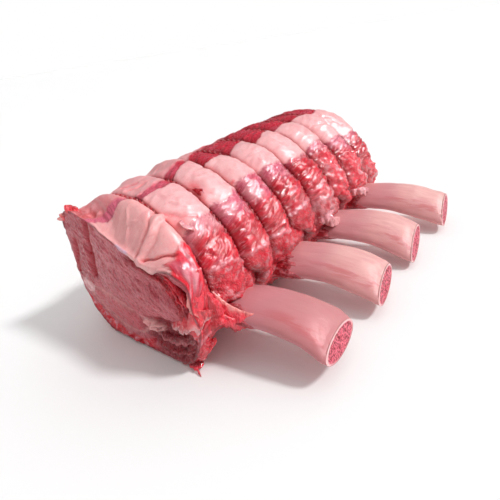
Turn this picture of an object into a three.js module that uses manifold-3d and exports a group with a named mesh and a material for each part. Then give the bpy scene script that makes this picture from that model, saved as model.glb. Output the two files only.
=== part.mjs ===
// A raw beef rib roast with four frenched bones, rolled and tied with eight loops of twine.
// It lies on its underside on the XY plane. Y runs along the roast from the cut face at the
// front (-Y) to the far end (+Y), the bones point to +X, and Z is up. Millimetres.
import * as THREE from 'three';
import { mergeVertices } from 'three/addons/utils/BufferGeometryUtils.js';
import Module from 'manifold-3d';

// ---- driving dimensions, in millimetres ----

const BONE_SIDE_X = 28; // the side that the bones leave, where the places along Y are measured
const LOOP_PLACES = [-112, -84, -57.5, -32.5, -3.5, 27, 57, 86]; // the twine loops along Y
// Each loop's far side lies further back, by this much for each mm of X.
const LOOP_SLANTS = [0.215, 0.215, 0.2, 0.17, 0.14, 0.11, 0.06, 0.01];
const FACE_Y = -126; // the cut face
const FACE_SLANT = 0.1;
const END_Y = 119; // the far end
const END_SLANT = 0.12;

const TWINE_RADIUS = 1.05;
const GAP = 0.3; // clear space between pieces that touch
const GROOVE_HALF_WIDTH = 1.6; // flat floor that a loop lies on

const BONE_PITCH = 58.6;
const FIRST_BONE_Y = -92;
const BONE_WIDTH = 35;
const BONE_THICKNESS = 12.5;
const BONE_ROOT_X = -34; // the bones end inside the meat
const FAR_CLEAR = 20.5; // how far past a bone's middle a loop lies low on the roast
const NEAR_CLEAR = 22.5; // and how far short of it, on the bone's near side
const NEAR_SIDE = -10; // a loop this far short of a bone's middle, or further, stays on the near side

// The roast's section under a loop, x and z, from above the bones over the top and round.
const LOOP_SECTION = [
  [17.5, 25], [21.5, 38], [16.5, 53], [5, 64.5], [-11, 74], [-30, 79], [-48, 79], [-63, 72.5],
  [-73, 59], [-76, 42], [-73, 25], [-62, 12], [-45, 4.5], [-26, 3.2], [-8, 4], [4, 8], [12, 15],
];
// The outline of the cut face, in the same order.
const FACE_SECTION = [
  [27, 28], [25, 38], [25, 49], [19, 56.5], [6, 57], [-10, 60], [-26, 65], [-42, 71], [-62, 76],
  [-70, 70], [-72, 56], [-72.5, 40], [-71, 24], [-63, 10], [-47, 1], [-22, 0.5], [2, 1.5], [14, 4],
  [22, 14],
];
// The outline of the far end.
const END_SECTION = [
  [21, 27], [18, 38], [12, 50], [1.5, 61], [-13, 70.5], [-31, 76], [-50, 74], [-62, 66],
  [-68, 52], [-69, 38], [-65, 25], [-56, 15], [-42, 9], [-22, 7], [0, 8], [12, 11], [19, 18],
];
const CENTRE = new THREE.Vector2(-24, 38); // the point that every outline is drawn round

// Each bone: the tip's x, the height of its middle at the root, at the crest and at the tip,
// the rise of its far edge over its near edge at the root and at the tip, the tip's shift in Y,
// and how far the sawn tip runs out on the near side for each mm of width.
const BONES = [
  { tipX: 81.8, rootZ: 19, crestZ: 24.3, tipZ: 14.3, rootRise: 0, tipRise: -0.5, drift: 1, saw: 0.055 },
  { tipX: 83.5, rootZ: 16, crestZ: 21, tipZ: 12.5, rootRise: 5, tipRise: 5, drift: 1, saw: 0.13 },
  { tipX: 84, rootZ: 15.5, crestZ: 20, tipZ: 11, rootRise: 4.5, tipRise: 9, drift: 1, saw: 0.13 },
  { tipX: 89, rootZ: 16, crestZ: 20, tipZ: 12.1, rootRise: 5.5, tipRise: 9, drift: 1, saw: 0.13 },
];

// ---- lattice sizes ----

const AROUND = 44; // steps round the roast and along each loop
const BULGE_STEPS = [0, 0.1, 0.28, 0.5, 0.72, 0.9, 1]; // rows across a bulge, from loop to loop
const FACE_RINGS = [0.15, 0.32, 0.5, 0.68, 0.84, 0.95];
const END_RINGS = [0.3, 0.6, 0.85];
const TWINE_SIDES = 5;
const BONE_AROUND = 14;
const BONE_STEPS = 14;

const LOOP_COUNT = LOOP_PLACES.length;

// ---- small helpers ----

const blend = THREE.MathUtils.lerp;

// 0 at one value and 1 at the other, whichever of the two is larger, and soft in between.
function smooth(from, to, value) {
  const share = THREE.MathUtils.clamp((value - from) / (to - from), 0, 1);
  return share * share * (3 - 2 * share);
}

// Moves every vertex of a lattice and joins the ones that fall together.
function reshape(geometry, columns, rows, place) {
  const shape = geometry.clone();
  shape.deleteAttribute('normal');
  shape.deleteAttribute('uv');
  const position = shape.getAttribute('position');
  for (let i = 0; i < position.count; i += 1) {
    const column = (i % (columns + 1)) % columns;
    const row = Math.floor(i / (columns + 1));
    position.setXYZ(i, ...place(column, row, rows).toArray());
  }
  return mergeVertices(shape, 1e-4);
}

// The radius of a closed outline in each direction from the centre.
function radiusOf(outline) {
  const curve = new THREE.CatmullRomCurve3(
    outline.map(([x, z]) => new THREE.Vector3(x, 0, z)), true, 'catmullrom', 0.5);
  const polar = curve.getSpacedPoints(360).slice(0, 360).map((point) => {
    const x = point.x - CENTRE.x;
    const z = point.z - CENTRE.y;
    return { angle: Math.atan2(z, x), radius: Math.hypot(x, z) };
  }).sort((a, b) => a.angle - b.angle);
  const last = polar[polar.length - 1];
  const ring = [{ ...last, angle: last.angle - 2 * Math.PI }, ...polar,
    { ...polar[0], angle: polar[0].angle + 2 * Math.PI }];
  return (angle) => {
    const after = ring.findIndex((entry) => entry.angle >= angle);
    const from = ring[Math.max(after - 1, 0)];
    const to = ring[Math.max(after, 1)];
    return blend(from.radius, to.radius, (angle - from.angle) / (to.angle - from.angle));
  };
}

// ---- the rolled meat's surface ----

const loopRadius = radiusOf(LOOP_SECTION);
const faceRadius = radiusOf(FACE_SECTION);
const endRadius = radiusOf(END_SECTION);

// Directions round the roast, evenly spaced along the section under a loop.
const directions = new THREE.CatmullRomCurve3(
  LOOP_SECTION.map(([x, z]) => new THREE.Vector3(x, 0, z)), true, 'catmullrom', 0.5)
  .getSpacedPoints(AROUND).slice(0, AROUND)
  .map((point) => Math.atan2(point.z - CENTRE.y, point.x - CENTRE.x));

const outward = (angle) => new THREE.Vector2(Math.cos(angle), Math.sin(angle));

// How far the meat swells out between two loops: most on the side of the bones.
function swell(angle) {
  const side = smooth(-0.35, 0.85, Math.cos(angle - 0.15));
  const under = smooth(-0.55, -0.85, Math.sin(angle));
  return blend(blend(2, 6, side), 4.4, under);
}

// How much fuller the roast gets towards the far end, on top and on the side away from the bones,
// and how much flatter its shoulder on that side is round the first loops.
function growth(angle, y) {
  const top = smooth(0.9, 0.2, Math.cos(angle)) * smooth(-0.2, 0.6, Math.sin(angle));
  const shoulder = smooth(0.1, -0.3, Math.cos(angle)) * smooth(0.1, 0.5, Math.sin(angle));
  const flatter = 2.4 * smooth(-116, -104, y) * smooth(-45, -75, y) * shoulder;
  return 3.5 * smooth(-100, 80, y) * top - flatter;
}

// Low lumps that keep the surface from being a plain tube.
function lump(angle, y) {
  return 0.55 * Math.sin(3 * angle + 0.061 * y) + 0.45 * Math.sin(5 * angle - 0.083 * y + 1.1);
}

// Low on the side of the bones a loop slips past the far edge of a bone, or stays clear of its near edge.
function slip(place, x, z) {
  let shift = 0;
  for (let bone = 0; bone < BONES.length; bone += 1) {
    const along = place - (FIRST_BONE_Y + BONE_PITCH * bone);
    if (along > NEAR_SIDE && along < FAR_CLEAR) shift = FAR_CLEAR - along;
    if (along > -NEAR_CLEAR && along <= NEAR_SIDE) shift = -NEAR_CLEAR - along;
  }
  return shift * smooth(41, 28, z) * smooth(-34, 2, x);
}

const slantedY = (base, slant, x) => base - slant * (x - BONE_SIDE_X);

// The place of a loop along Y, at a point of the section.
function loopY(number, x, z) {
  return slantedY(LOOP_PLACES[number], LOOP_SLANTS[number], x) + slip(LOOP_PLACES[number], x, z);
}

const faceY = (x) => slantedY(FACE_Y, FACE_SLANT, x);
const endY = (x) => slantedY(END_Y, END_SLANT, x);

// A point on the roast's skin. Segment 0 lies before the first loop and segment 8 past the last.
function skinPoint(angle, segment, step) {
  const direction = outward(angle);
  const bulge = 1 - Math.abs(2 * step - 1) ** 2.6;
  let base = loopRadius(angle);
  let height = swell(angle) * bulge;
  if (segment === 0) {
    base = blend(faceRadius(angle), base, smooth(0, 0.85, step));
    height = swell(angle) * (step < 0.5 ? bulge * smooth(0, 0.5, step) : bulge);
  }
  if (segment === LOOP_COUNT) {
    base = blend(base, endRadius(angle), smooth(0.35, 1, step));
    height = swell(angle) * bulge * 0.6;
  }
  const anchor = direction.clone().multiplyScalar(loopRadius(angle)).add(CENTRE);
  const start = segment === 0 ? faceY(anchor.x)
    : loopY(segment - 1, anchor.x, anchor.y) + GROOVE_HALF_WIDTH;
  const stop = segment === LOOP_COUNT ? endY(anchor.x)
    : loopY(segment, anchor.x, anchor.y) - GROOVE_HALF_WIDTH;
  const y = blend(start, stop, step);
  const radius = base + growth(angle, y) + height + lump(angle, y) * bulge;
  const point = direction.multiplyScalar(radius).add(CENTRE);
  const floor = segment === 0 ? blend(2, 0, step) : 0;
  return new THREE.Vector3(point.x, y, Math.max(point.y, floor));
}

// ---- the cut face and the far end ----

// Relief of the cut face: how far a spot stands back from the plane of the cut.
function faceRelief(x, z) {
  const eye = 2.4 * Math.exp(-(((x + 20) / 34) ** 2) - (((z - 40) / 20) ** 2));
  const hollow = 6 * Math.exp(-(((x - 4) / 16) ** 2) - (((z - 17) / 9) ** 2));
  const seam = 2.2 * Math.exp(-(((x + 55 - 0.12 * (z - 40)) / 3.5) ** 2)) * smooth(14, 26, z);
  const underLip = 4 * Math.exp(-(((x - 6) / 22) ** 2) - (((z - 46 + 0.1 * x) / 6) ** 2));
  return hollow + seam + underLip - eye + 0.5 * Math.sin(0.21 * x + 0.13 * z);
}

function facePoint(angle, reach) {
  const rim = outward(angle).multiplyScalar(faceRadius(angle) * reach).add(CENTRE);
  const relief = faceRelief(rim.x, rim.y) * smooth(1, 0.8, reach);
  return new THREE.Vector3(rim.x, faceY(rim.x) + relief, Math.max(rim.y, 2));
}

function endPoint(angle, reach) {
  const rim = outward(angle).multiplyScalar(endRadius(angle) * reach).add(CENTRE);
  const crown = 4.5 * (1 - reach ** 2);
  return new THREE.Vector3(rim.x, endY(rim.x) + crown + 0.8 * Math.sin(0.2 * rim.x + 0.17 * rim.y), rim.y);
}

// Rows of the lattice from the middle of the cut face, along the skin, to the middle of the far end.
const rowPlaces = [
  ...[0, ...FACE_RINGS].map((reach) => (angle) => facePoint(angle, reach)),
  ...Array.from({ length: LOOP_COUNT + 1 }, (_, segment) => BULGE_STEPS
    .map((step) => (angle) => skinPoint(angle, segment, step))).flat(),
  ...[...END_RINGS].reverse().concat(0).map((reach) => (angle) => endPoint(angle, reach)),
];

function rolledMeat() {
  const rows = rowPlaces.length - 1;
  const lattice = new THREE.SphereGeometry(1, AROUND, rows);
  return reshape(lattice, AROUND, rows, (column, row) => rowPlaces[row](directions[column]));
}

// ---- bones ----

// One bone, swollen by a margin when it stands for the space that it needs in the meat.
function boneGeometry(number, margin) {
  const bone = BONES[number];
  const y = FIRST_BONE_Y + BONE_PITCH * number;
  const spine = new THREE.CatmullRomCurve3([
    new THREE.Vector3(BONE_ROOT_X, y, bone.rootZ + 2),
    new THREE.Vector3(0, y, bone.rootZ + 0.5),
    new THREE.Vector3(BONE_SIDE_X, y, blend(bone.rootZ, bone.crestZ, 0.75)),
    new THREE.Vector3(46, y + 0.2 * bone.drift, bone.crestZ),
    new THREE.Vector3(64, y + 0.6 * bone.drift, blend(bone.crestZ, bone.tipZ, 0.25)),
    new THREE.Vector3(bone.tipX, y + bone.drift, bone.tipZ),
  ]);
  const place = (column, row, rows) => {
    const along = THREE.MathUtils.clamp((row - 2) / (rows - 4), 0, 1);
    const reach = Math.min(Math.min(row, rows - row) / 2, 1);
    const fullness = reach === 0 ? 0 : blend(0.55, 1, reach * 2 - 1);
    const centre = spine.getPoint(along);
    const rise = blend(bone.rootRise, bone.tipRise, smooth(0.3, 1, along)) / BONE_WIDTH;
    const flare = 1 - 0.08 * Math.sin(Math.PI * smooth(0.25, 1, along));
    const angle = (2 * Math.PI * column) / BONE_AROUND;
    const across = Math.cos(angle);
    const up = Math.sin(angle);
    const halfWidth = (BONE_WIDTH / 2) * flare + margin;
    const halfThickness = BONE_THICKNESS / 2 + margin;
    const end = row < rows / 2 ? -margin : margin;
    const saw = bone.saw * across * halfWidth * smooth(0.75, 1, along) * fullness;
    return new THREE.Vector3(
      centre.x + saw + (along === 0 || along === 1 ? end : 0),
      centre.y - across * halfWidth * fullness,
      centre.z + (up * halfThickness - across * halfWidth * rise) * fullness);
  };
  const rows = BONE_STEPS + 4;
  return reshape(new THREE.SphereGeometry(1, BONE_AROUND, rows), BONE_AROUND, rows, place);
}

// ---- twine ----

// One loop, laid in its groove with a small gap.
function loopGeometry(number) {
  const lift = TWINE_RADIUS + GAP;
  const spots = directions.map((angle) => {
    const anchor = outward(angle).multiplyScalar(loopRadius(angle)).add(CENTRE);
    const y = loopY(number, anchor.x, anchor.y);
    const radius = loopRadius(angle) + growth(angle, y) + lift;
    const spot = outward(angle).multiplyScalar(radius).add(CENTRE);
    return { angle, centre: new THREE.Vector3(spot.x, y, spot.y) };
  });
  const lattice = new THREE.TorusGeometry(1, 0.1, TWINE_SIDES, AROUND);
  return reshape(lattice, AROUND, TWINE_SIDES, (column, row) => {
    const turn = (-2 * Math.PI * (row % TWINE_SIDES)) / TWINE_SIDES;
    const { angle, centre } = spots[column];
    const out = outward(angle).multiplyScalar(TWINE_RADIUS * Math.cos(turn));
    const side = TWINE_RADIUS * Math.sin(turn);
    return new THREE.Vector3(centre.x + out.x, centre.y + side, centre.z + out.y);
  });
}

// ---- loose scraps that hang on the meat ----

// Each scrap is an ellipsoid: its middle, its three radii and its turn about Y.
const SCRAPS = [
  { name: 'corner nub', at: [-66, -114, 74], size: [6.5, 4.5, 4], turn: 0.4 },
  { name: 'low scrap', at: [15, -124, 3.4], size: [7, 4.5, 3.2], turn: 0.2 },
  { name: 'side flap', at: [28, -121, 26], size: [4.5, 6, 12], turn: 0.2 },
  { name: 'far nub', at: [20, 110, 36], size: [6.5, 6, 5], turn: -0.3 },
];

function scrapGeometry({ at, size, turn }) {
  const shape = new THREE.IcosahedronGeometry(1, 1);
  shape.scale(...size);
  shape.rotateY(turn);
  shape.translate(...at);
  return shape;
}

// Meat left on each bone: a collar that runs a little way out on top, and longer strands below
// and on the near side. Each is an ellipsoid: its middle's x, its shift in Y, its radii, and how
// high its middle lies over the bone's middle at the root.
const COLLAR = { x: 10, shift: 0, size: [16, BONE_WIDTH / 2 + 1.5, 8.5], lift: 1.5 };
const STRANDS = { x: 23, shift: -BONE_WIDTH / 4 - 1, size: [24, BONE_WIDTH / 4 + 1, 4.2], lift: 0 };
const BONE_SLOPE = -0.1; // the roots of the bones rise towards the tips

function leftoverGeometry(number, { x, shift, size, lift }) {
  const shape = new THREE.IcosahedronGeometry(1, 1);
  shape.scale(...size);
  shape.rotateY(BONE_SLOPE);
  shape.translate(x, FIRST_BONE_Y + BONE_PITCH * number + shift, BONES[number].rootZ + lift);
  return shape;
}

// ---- booleans ----

const wasm = await Module();
wasm.setup();

function solidOf(geometry) {
  const shape = geometry.clone();
  shape.deleteAttribute('normal');
  shape.deleteAttribute('uv');
  const merged = mergeVertices(shape, 1e-4);
  return new wasm.Manifold(new wasm.Mesh({
    numProp: 3,
    vertProperties: Float32Array.from(merged.getAttribute('position').array),
    triVerts: Uint32Array.from(merged.index.array),
  }));
}

function geometryOf(solid) {
  const mesh = solid.getMesh();
  const geometry = new THREE.BufferGeometry();
  geometry.setAttribute('position', new THREE.BufferAttribute(Float32Array.from(mesh.vertProperties), 3));
  geometry.setIndex(new THREE.BufferAttribute(Uint32Array.from(mesh.triVerts), 1));
  geometry.computeVertexNormals();
  return geometry;
}

// ---- the roast ----

const roast = new THREE.Group();
roast.name = 'beef_rib_roast';

function addMesh(name, geometry, colour, roughness) {
  const material = new THREE.MeshStandardMaterial({ color: colour, roughness, metalness: 0 });
  const mesh = new THREE.Mesh(geometry, material);
  mesh.name = name;
  roast.add(mesh);
}

let meat = solidOf(rolledMeat());
for (const scrap of SCRAPS) meat = meat.add(solidOf(scrapGeometry(scrap)));
for (let number = 0; number < BONES.length; number += 1) {
  meat = meat.add(solidOf(leftoverGeometry(number, COLLAR)));
  meat = meat.add(solidOf(leftoverGeometry(number, STRANDS)));
}
for (let number = 0; number < BONES.length; number += 1) {
  meat = meat.subtract(solidOf(boneGeometry(number, GAP)));
}
addMesh('meat', geometryOf(meat), 0xb5545c, 0.45);
for (let number = 0; number < BONES.length; number += 1) {
  addMesh(`rib_${number + 1}`, boneGeometry(number, 0), 0xdcb3a8, 0.5);
}
for (let number = 0; number < LOOP_COUNT; number += 1) {
  addMesh(`tie_${number + 1}`, loopGeometry(number), 0xe9d6cf, 0.8);
}

// The frame's origin is the middle of the bounding box's underside.
const box = new THREE.Box3().setFromObject(roast);
const middle = box.getCenter(new THREE.Vector3());
for (const mesh of roast.children) mesh.geometry.translate(-middle.x, -middle.y, -box.min.z);

export default roast;
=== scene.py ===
"""A raw beef rib roast, rolled and tied with twine: the finish of its meat, bones and twine.

Shapes are drawn in millimetres, in the drawing's own place, and moved into the frame at the end.
"""
import math
from collections import namedtuple

import bpy
import numpy as np
from mathutils import Matrix, Vector


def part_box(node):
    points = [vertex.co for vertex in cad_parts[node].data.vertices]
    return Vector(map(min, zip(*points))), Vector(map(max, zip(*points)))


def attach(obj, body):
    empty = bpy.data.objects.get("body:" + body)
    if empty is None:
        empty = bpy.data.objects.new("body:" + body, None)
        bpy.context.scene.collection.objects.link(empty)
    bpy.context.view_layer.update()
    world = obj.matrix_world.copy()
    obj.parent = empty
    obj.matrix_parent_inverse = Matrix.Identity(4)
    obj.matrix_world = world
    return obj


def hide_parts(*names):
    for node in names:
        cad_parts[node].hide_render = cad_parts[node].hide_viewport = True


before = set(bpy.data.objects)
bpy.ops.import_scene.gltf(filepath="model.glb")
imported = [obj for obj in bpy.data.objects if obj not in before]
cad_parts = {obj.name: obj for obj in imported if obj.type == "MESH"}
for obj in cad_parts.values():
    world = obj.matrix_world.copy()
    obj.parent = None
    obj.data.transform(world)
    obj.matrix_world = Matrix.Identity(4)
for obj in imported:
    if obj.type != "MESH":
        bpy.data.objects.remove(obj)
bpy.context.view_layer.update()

# ---- driving dimensions of the roast, in millimetres ----

BONE_SIDE_X = 28.0  # the side that the bones leave, where the places along Y are measured
LOOP_PLACES = (-112, -84, -57.5, -32.5, -3.5, 27, 57, 86)  # the twine loops along Y
LOOP_SLANTS = (0.215, 0.215, 0.2, 0.17, 0.14, 0.11, 0.06, 0.01)  # each loop's far side lies further back
FACE_Y = -126.0  # the cut face
FACE_LIFT = 2.0  # the lower edge of the cut face stands this far over the board
FACE_SLANT = 0.1
END_Y = 119.0  # the far end
END_SLANT = 0.12
GROOVE_HALF_WIDTH = 1.6

TWINE_RADIUS = 1.05
GAP = 0.3
PLY_RADIUS = 0.56
TWINE_LAY = 5.0  # one full turn of the two plies

BONE_PITCH = 58.6
FIRST_BONE_Y = -92.0
BONE_WIDTH = 35.0
BONE_THICKNESS = 12.5
BONE_ROOT_X = -34.0
BONE_DRIFT = 1.0  # how far a tip lies further back than its root
FAR_CLEAR = 20.5  # how far past a bone's middle a loop lies low on the roast
NEAR_CLEAR = 22.5  # and how far short of it, on the bone's near side
NEAR_SIDE = -10.0  # a loop this far short of a bone's middle, or further, stays on the near side

# Outlines across the roast, x and z: under a loop, at the cut face and at the far end.
LOOP_SECTION = (
    (17.5, 25), (21.5, 38), (16.5, 53), (5, 64.5), (-11, 74), (-30, 79), (-48, 79), (-63, 72.5),
    (-73, 59), (-76, 42), (-73, 25), (-62, 12), (-45, 4.5), (-26, 3.2), (-8, 4), (4, 8), (12, 15),
)
FACE_SECTION = (
    (27, 28), (25, 38), (25, 49), (19, 56.5), (6, 57), (-10, 60), (-26, 65), (-42, 71), (-62, 76),
    (-70, 70), (-72, 56), (-72.5, 40), (-71, 24), (-63, 10), (-47, 1), (-22, 0.5), (2, 1.5), (14, 4),
    (22, 14),
)
END_SECTION = (
    (21, 27), (18, 38), (12, 50), (1.5, 61), (-13, 70.5), (-31, 76), (-50, 74), (-62, 66),
    (-68, 52), (-69, 38), (-65, 25), (-56, 15), (-42, 9), (-22, 7), (0, 8), (12, 11), (19, 18),
)
CENTRE_X = -24.0
CENTRE_Z = 38.0

# Each bone: the tip's x, the height of its middle at the root, the crest and the tip, the rise of
# its far edge over its near edge at the root and at the tip, and how far the saw cut slants.
BONES = (
    dict(tip_x=81.8, root_z=19, crest_z=24.3, tip_z=14.3, root_rise=0, tip_rise=-0.5, saw=0.055),
    dict(tip_x=83.5, root_z=16, crest_z=21, tip_z=12.5, root_rise=5, tip_rise=5, saw=0.13),
    dict(tip_x=84, root_z=15.5, crest_z=20, tip_z=11, root_rise=4.5, tip_rise=9, saw=0.13),
    dict(tip_x=89, root_z=16, crest_z=20, tip_z=12.1, root_rise=5.5, tip_rise=9, saw=0.13),
)

LOOP_COUNT = len(LOOP_PLACES)
LAST_SEGMENT = LOOP_COUNT

# ---- tissue borders on the skin: stations along the roast (1 to 8 are the loops) and degrees ----

STRIP_LOW = (
    (0, 0.16, 0.3, 1, 1.02, 1.65, 2, 2.02, 2.5, 3, 3.02, 3.5, 4, 4.02, 4.9, 5.02, 5.9, 6.02, 6.8, 7.02,
     7.5, 8, 8.5, 9),
    (119, 113, 106, 86, 84, 82, 84, 92, 95, 98, 89, 87, 88, 85, 94, 82, 89, 86, 83, 88,
     82, 84, 88, 94),
)
STRIP_HIGH = (
    (0, 0.13, 0.3, 1, 1.05, 1.7, 2, 2.02, 2.5, 3, 3.2, 4, 4.4, 5, 6, 7, 8, 9),
    (126, 122, 115, 98, 92, 93, 97, 106, 103, 105, 110, 121, 129, 131, 132, 132, 132, 132),
)
FAT_LOW = (
    (0, 0.06, 0.35, 0.57, 1, 1.02, 1.2, 1.5, 2, 2.02, 2.6, 3, 3.1, 3.6, 4, 4.1, 5, 5.1, 6, 6.1, 7, 7.1,
     8, 8.1, 8.5, 9),
    (22, 24, 29, 32, 36, 38, 41, 44, 44, 48, 46, 50, 54, 51, 50, 50, 50, 45, 43, 50, 47, 43,
     42, 41, 41, 45),
)
VEIL_LOW = (
    (0, 1, 1.1, 2, 3, 3.1, 4, 4.1, 5, 5.1, 6, 6.1, 7, 7.1, 7.5, 8, 8.1, 9),
    (8, 14, 33, 30, 31, 33, 30, 39, 34, 43, 41, 43, 38, 34, 28, 28, 35, 34),
)
LINE_LOW = (
    (0, 1, 1.02, 1.4, 2, 2.02, 3, 3.02, 4, 4.02, 5, 5.02, 6, 6.02, 7, 7.02, 8, 8.02, 9),
    (-20, -10, 14, 13, 7, 8, 8, 6, 4, 10, 13, 6, 8, 40, 34, 26, 22, 8, 4),
)


def srgb(red, green, blue):
    """A colour seen as 0 to 255, as the linear values that Blender mixes."""
    shares = np.array((red, green, blue), float) / 255
    return np.where(shares <= 0.04045, shares / 12.92, ((shares + 0.055) / 1.055) ** 2.4)


# ---- colours of the tissues ----

FAT = srgb(253, 187, 189)
SLAB_FAT = srgb(255, 180, 179)
RUDDY_FAT = srgb(240, 140, 144)
MEMBRANE = srgb(240, 174, 178)
LILAC = srgb(226, 190, 214)
MAUVE = srgb(226, 110, 134)
CRIMSON = srgb(206, 34, 60)
LEAN = srgb(240, 36, 58)
LEAN_DEEP = srgb(130, 4, 16)
LEAN_BRIGHT = srgb(254, 62, 80)
FRAY_PALE = srgb(250, 168, 178)
PALE_CLUMP = srgb(254, 176, 182)
EYE = srgb(208, 90, 102)
EYE_PALE = srgb(232, 128, 136)
OVAL = srgb(210, 82, 94)
CAP = srgb(196, 66, 80)
RECESS = srgb(150, 44, 52)
SEAM = srgb(184, 8, 28)
# painted shade: the darker pink of fat in a loop's groove
SHADED_GROOVE_FAT = RUDDY_FAT * (1, 0.75, 0.78)
LIP_SHADE = srgb(148, 4, 24)
CORAL = srgb(250, 74, 84)
PALE_EDGE = srgb(250, 156, 150)
PALE_FLAP = srgb(250, 176, 178)
FOLD_PALE = srgb(196, 92, 98)
SLEEVE_RED = srgb(176, 20, 34)
SLEEVE_THIN = srgb(222, 120, 128)


# ---- small helpers ----

def smooth(start, stop, value):
    """0 at one value and 1 at the other, whichever is larger, and soft in between."""
    share = np.clip((value - start) / (stop - start), 0, 1)
    return share * share * (3 - 2 * share)


def blend(start, stop, share):
    return start + (stop - start) * share


def paint(colour, over, share):
    """Lays one colour over another by a share between 0 and 1."""
    return colour + (over - colour) * np.clip(share, 0, 1)[..., None]


def layered(colour, *layers):
    """Lays several colours over one. Each layer is a colour and its share."""
    for over, share in layers:
        colour = paint(colour, over, share)
    return colour


def spot(x, z, middle_x, middle_z, radius_x, radius_z, turn=0.0):
    """1 in the middle of a soft oval and close to 0 outside it. turn is in degrees."""
    cosine = math.cos(math.radians(turn))
    sine = math.sin(math.radians(turn))
    along = (x - middle_x) * cosine + (z - middle_z) * sine
    across = (z - middle_z) * cosine - (x - middle_x) * sine
    return np.exp(-(along / radius_x) ** 2 - (across / radius_z) ** 2)


def path_distance(x, z, path):
    """The distance of each place to a broken line of points."""
    nearest = np.full(np.shape(x), 1e9)
    for (ax, az), (bx, bz) in zip(path[:-1], path[1:]):
        length = (bx - ax) ** 2 + (bz - az) ** 2
        share = np.clip(((x - ax) * (bx - ax) + (z - az) * (bz - az)) / length, 0, 1)
        nearest = np.minimum(nearest, np.hypot(x - blend(ax, bx, share), z - blend(az, bz, share)))
    return nearest


def near_path(x, z, path, width):
    """1 on a broken line and falling to 0 within about two widths of it."""
    return np.exp(-(path_distance(x, z, path) / width) ** 2)


def noise(places, seed):
    """Smooth noise between about -1 and 1, with one wave for each unit of length."""
    corner = np.floor(places).astype(np.int64)
    inside = places - corner
    fade = inside ** 3 * (inside * (inside * 6 - 15) + 10)
    total = np.zeros(places.shape[:-1])
    for step in np.ndindex(2, 2, 2):
        cell = corner + step
        mixed = cell[..., 0] * 374761393 + cell[..., 1] * 668265263 + cell[..., 2] * 1442695041
        mixed = (mixed + seed * 1013904223) & 0xFFFFFFFF
        mixed = ((mixed ^ (mixed >> 13)) * 1274126177) & 0xFFFFFFFF
        mixed = mixed ^ (mixed >> 16)
        weight = np.ones_like(total)
        slope = np.zeros_like(total)
        for axis in range(3):
            weight = weight * (fade[..., axis] if step[axis] else 1 - fade[..., axis])
            lean = ((mixed >> (8 * axis)) & 255) / 127.5 - 1
            slope = slope + lean * (inside[..., axis] - step[axis])
        total = total + weight * slope
    return total * 1.5


def fractal(places, octaves, seed):
    """Noise with finer waves added, each half as high as the one before."""
    return sum(noise(places * 2 ** k, seed + 31 * k) / 2 ** k for k in range(octaves))


def ridges(places, seed):
    """Sharp crests: 1 on a crest and falling to 0 between them."""
    return np.clip(1 - 2.4 * np.abs(noise(places, seed)), 0, 1)


def band(value, low, high, soft):
    """1 between two borders and 0 outside them."""
    return smooth(low - soft, low + soft, value) * smooth(high + soft, high - soft, value)


# ---- the rolled meat's skin ----

def hermite(before, start, stop, after, share):
    """A smooth way from start to stop that also heeds the point before and the point after."""
    return ((2 * share ** 3 - 3 * share ** 2 + 1) * start
            + (share ** 3 - 2 * share ** 2 + share) * 0.5 * (stop - before)
            + (3 * share ** 2 - 2 * share ** 3) * stop
            + (share ** 3 - share ** 2) * 0.5 * (after - start))


def closed_curve(points, steps):
    """A smooth closed curve through the points."""
    knots = np.array(points, float)
    share = np.linspace(0, 1, steps, endpoint=False)[:, None]
    return np.vstack([
        hermite(*(knots[(index + k) % len(knots)] for k in (-1, 0, 1, 2)), share)
        for index in range(len(knots))])


def radius_of(outline):
    """The outline's radius in each direction from the roast's middle."""
    curve = closed_curve(outline, 40) - (CENTRE_X, CENTRE_Z)
    angles = np.arctan2(curve[:, 1], curve[:, 0])
    order = np.argsort(angles)
    radii = np.hypot(curve[:, 0], curve[:, 1])
    return lambda angle: np.interp(angle, angles[order], radii[order], period=2 * np.pi)


loop_radius = radius_of(LOOP_SECTION)
face_radius = radius_of(FACE_SECTION)
end_radius = radius_of(END_SECTION)


def directions(count):
    """Angles round the roast, evenly spaced along the section, from the side of the bones."""
    curve = closed_curve(LOOP_SECTION, 200)
    closed = np.vstack((curve, curve[:1]))
    lengths = np.r_[0, np.cumsum(np.hypot(*np.diff(closed, axis=0).T))]
    places = np.linspace(0, lengths[-1], count, endpoint=False)
    x, z = (np.interp(places, lengths, closed[:, axis]) for axis in (0, 1))
    return np.arctan2(z - CENTRE_Z, x - CENTRE_X)


def towards_bones(angle):
    """1 on the side of the bones and 0 on the far side."""
    return smooth(-0.35, 0.85, np.cos(angle - 0.15))


def swell(angle):
    """How far the meat swells out between two loops: most on the side of the bones."""
    under = smooth(-0.55, -0.85, np.sin(angle))
    return blend(blend(2, 6, towards_bones(angle)), 4.4, under)


def growth(angle, y):
    """How much fuller the roast gets towards the far end, and flatter on its shoulder near the face."""
    top = smooth(0.9, 0.2, np.cos(angle)) * smooth(-0.2, 0.6, np.sin(angle))
    flatter = 2.4 * smooth(-116, -104, y) * smooth(-45, -75, y) * shoulder_of(angle)
    return 3.5 * smooth(-100, 80, y) * top - flatter


def shoulder_of(angle):
    """1 on the upper side away from the bones."""
    return smooth(0.1, -0.3, np.cos(angle)) * smooth(0.1, 0.5, np.sin(angle))


def lump(angle, y):
    return 0.55 * np.sin(3 * angle + 0.061 * y) + 0.45 * np.sin(5 * angle - 0.083 * y + 1.1)


def slip(place, x, z):
    """Low on the side of the bones a loop slips past a bone's far edge, or stays clear of its near one."""
    shift = 0.0
    for bone in range(len(BONES)):
        along = place - (FIRST_BONE_Y + BONE_PITCH * bone)
        if NEAR_SIDE < along < FAR_CLEAR:
            shift = FAR_CLEAR - along
        elif -NEAR_CLEAR < along <= NEAR_SIDE:
            shift = -NEAR_CLEAR - along
    return shift * smooth(41, 28, z) * smooth(-34, 2, x)


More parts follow.
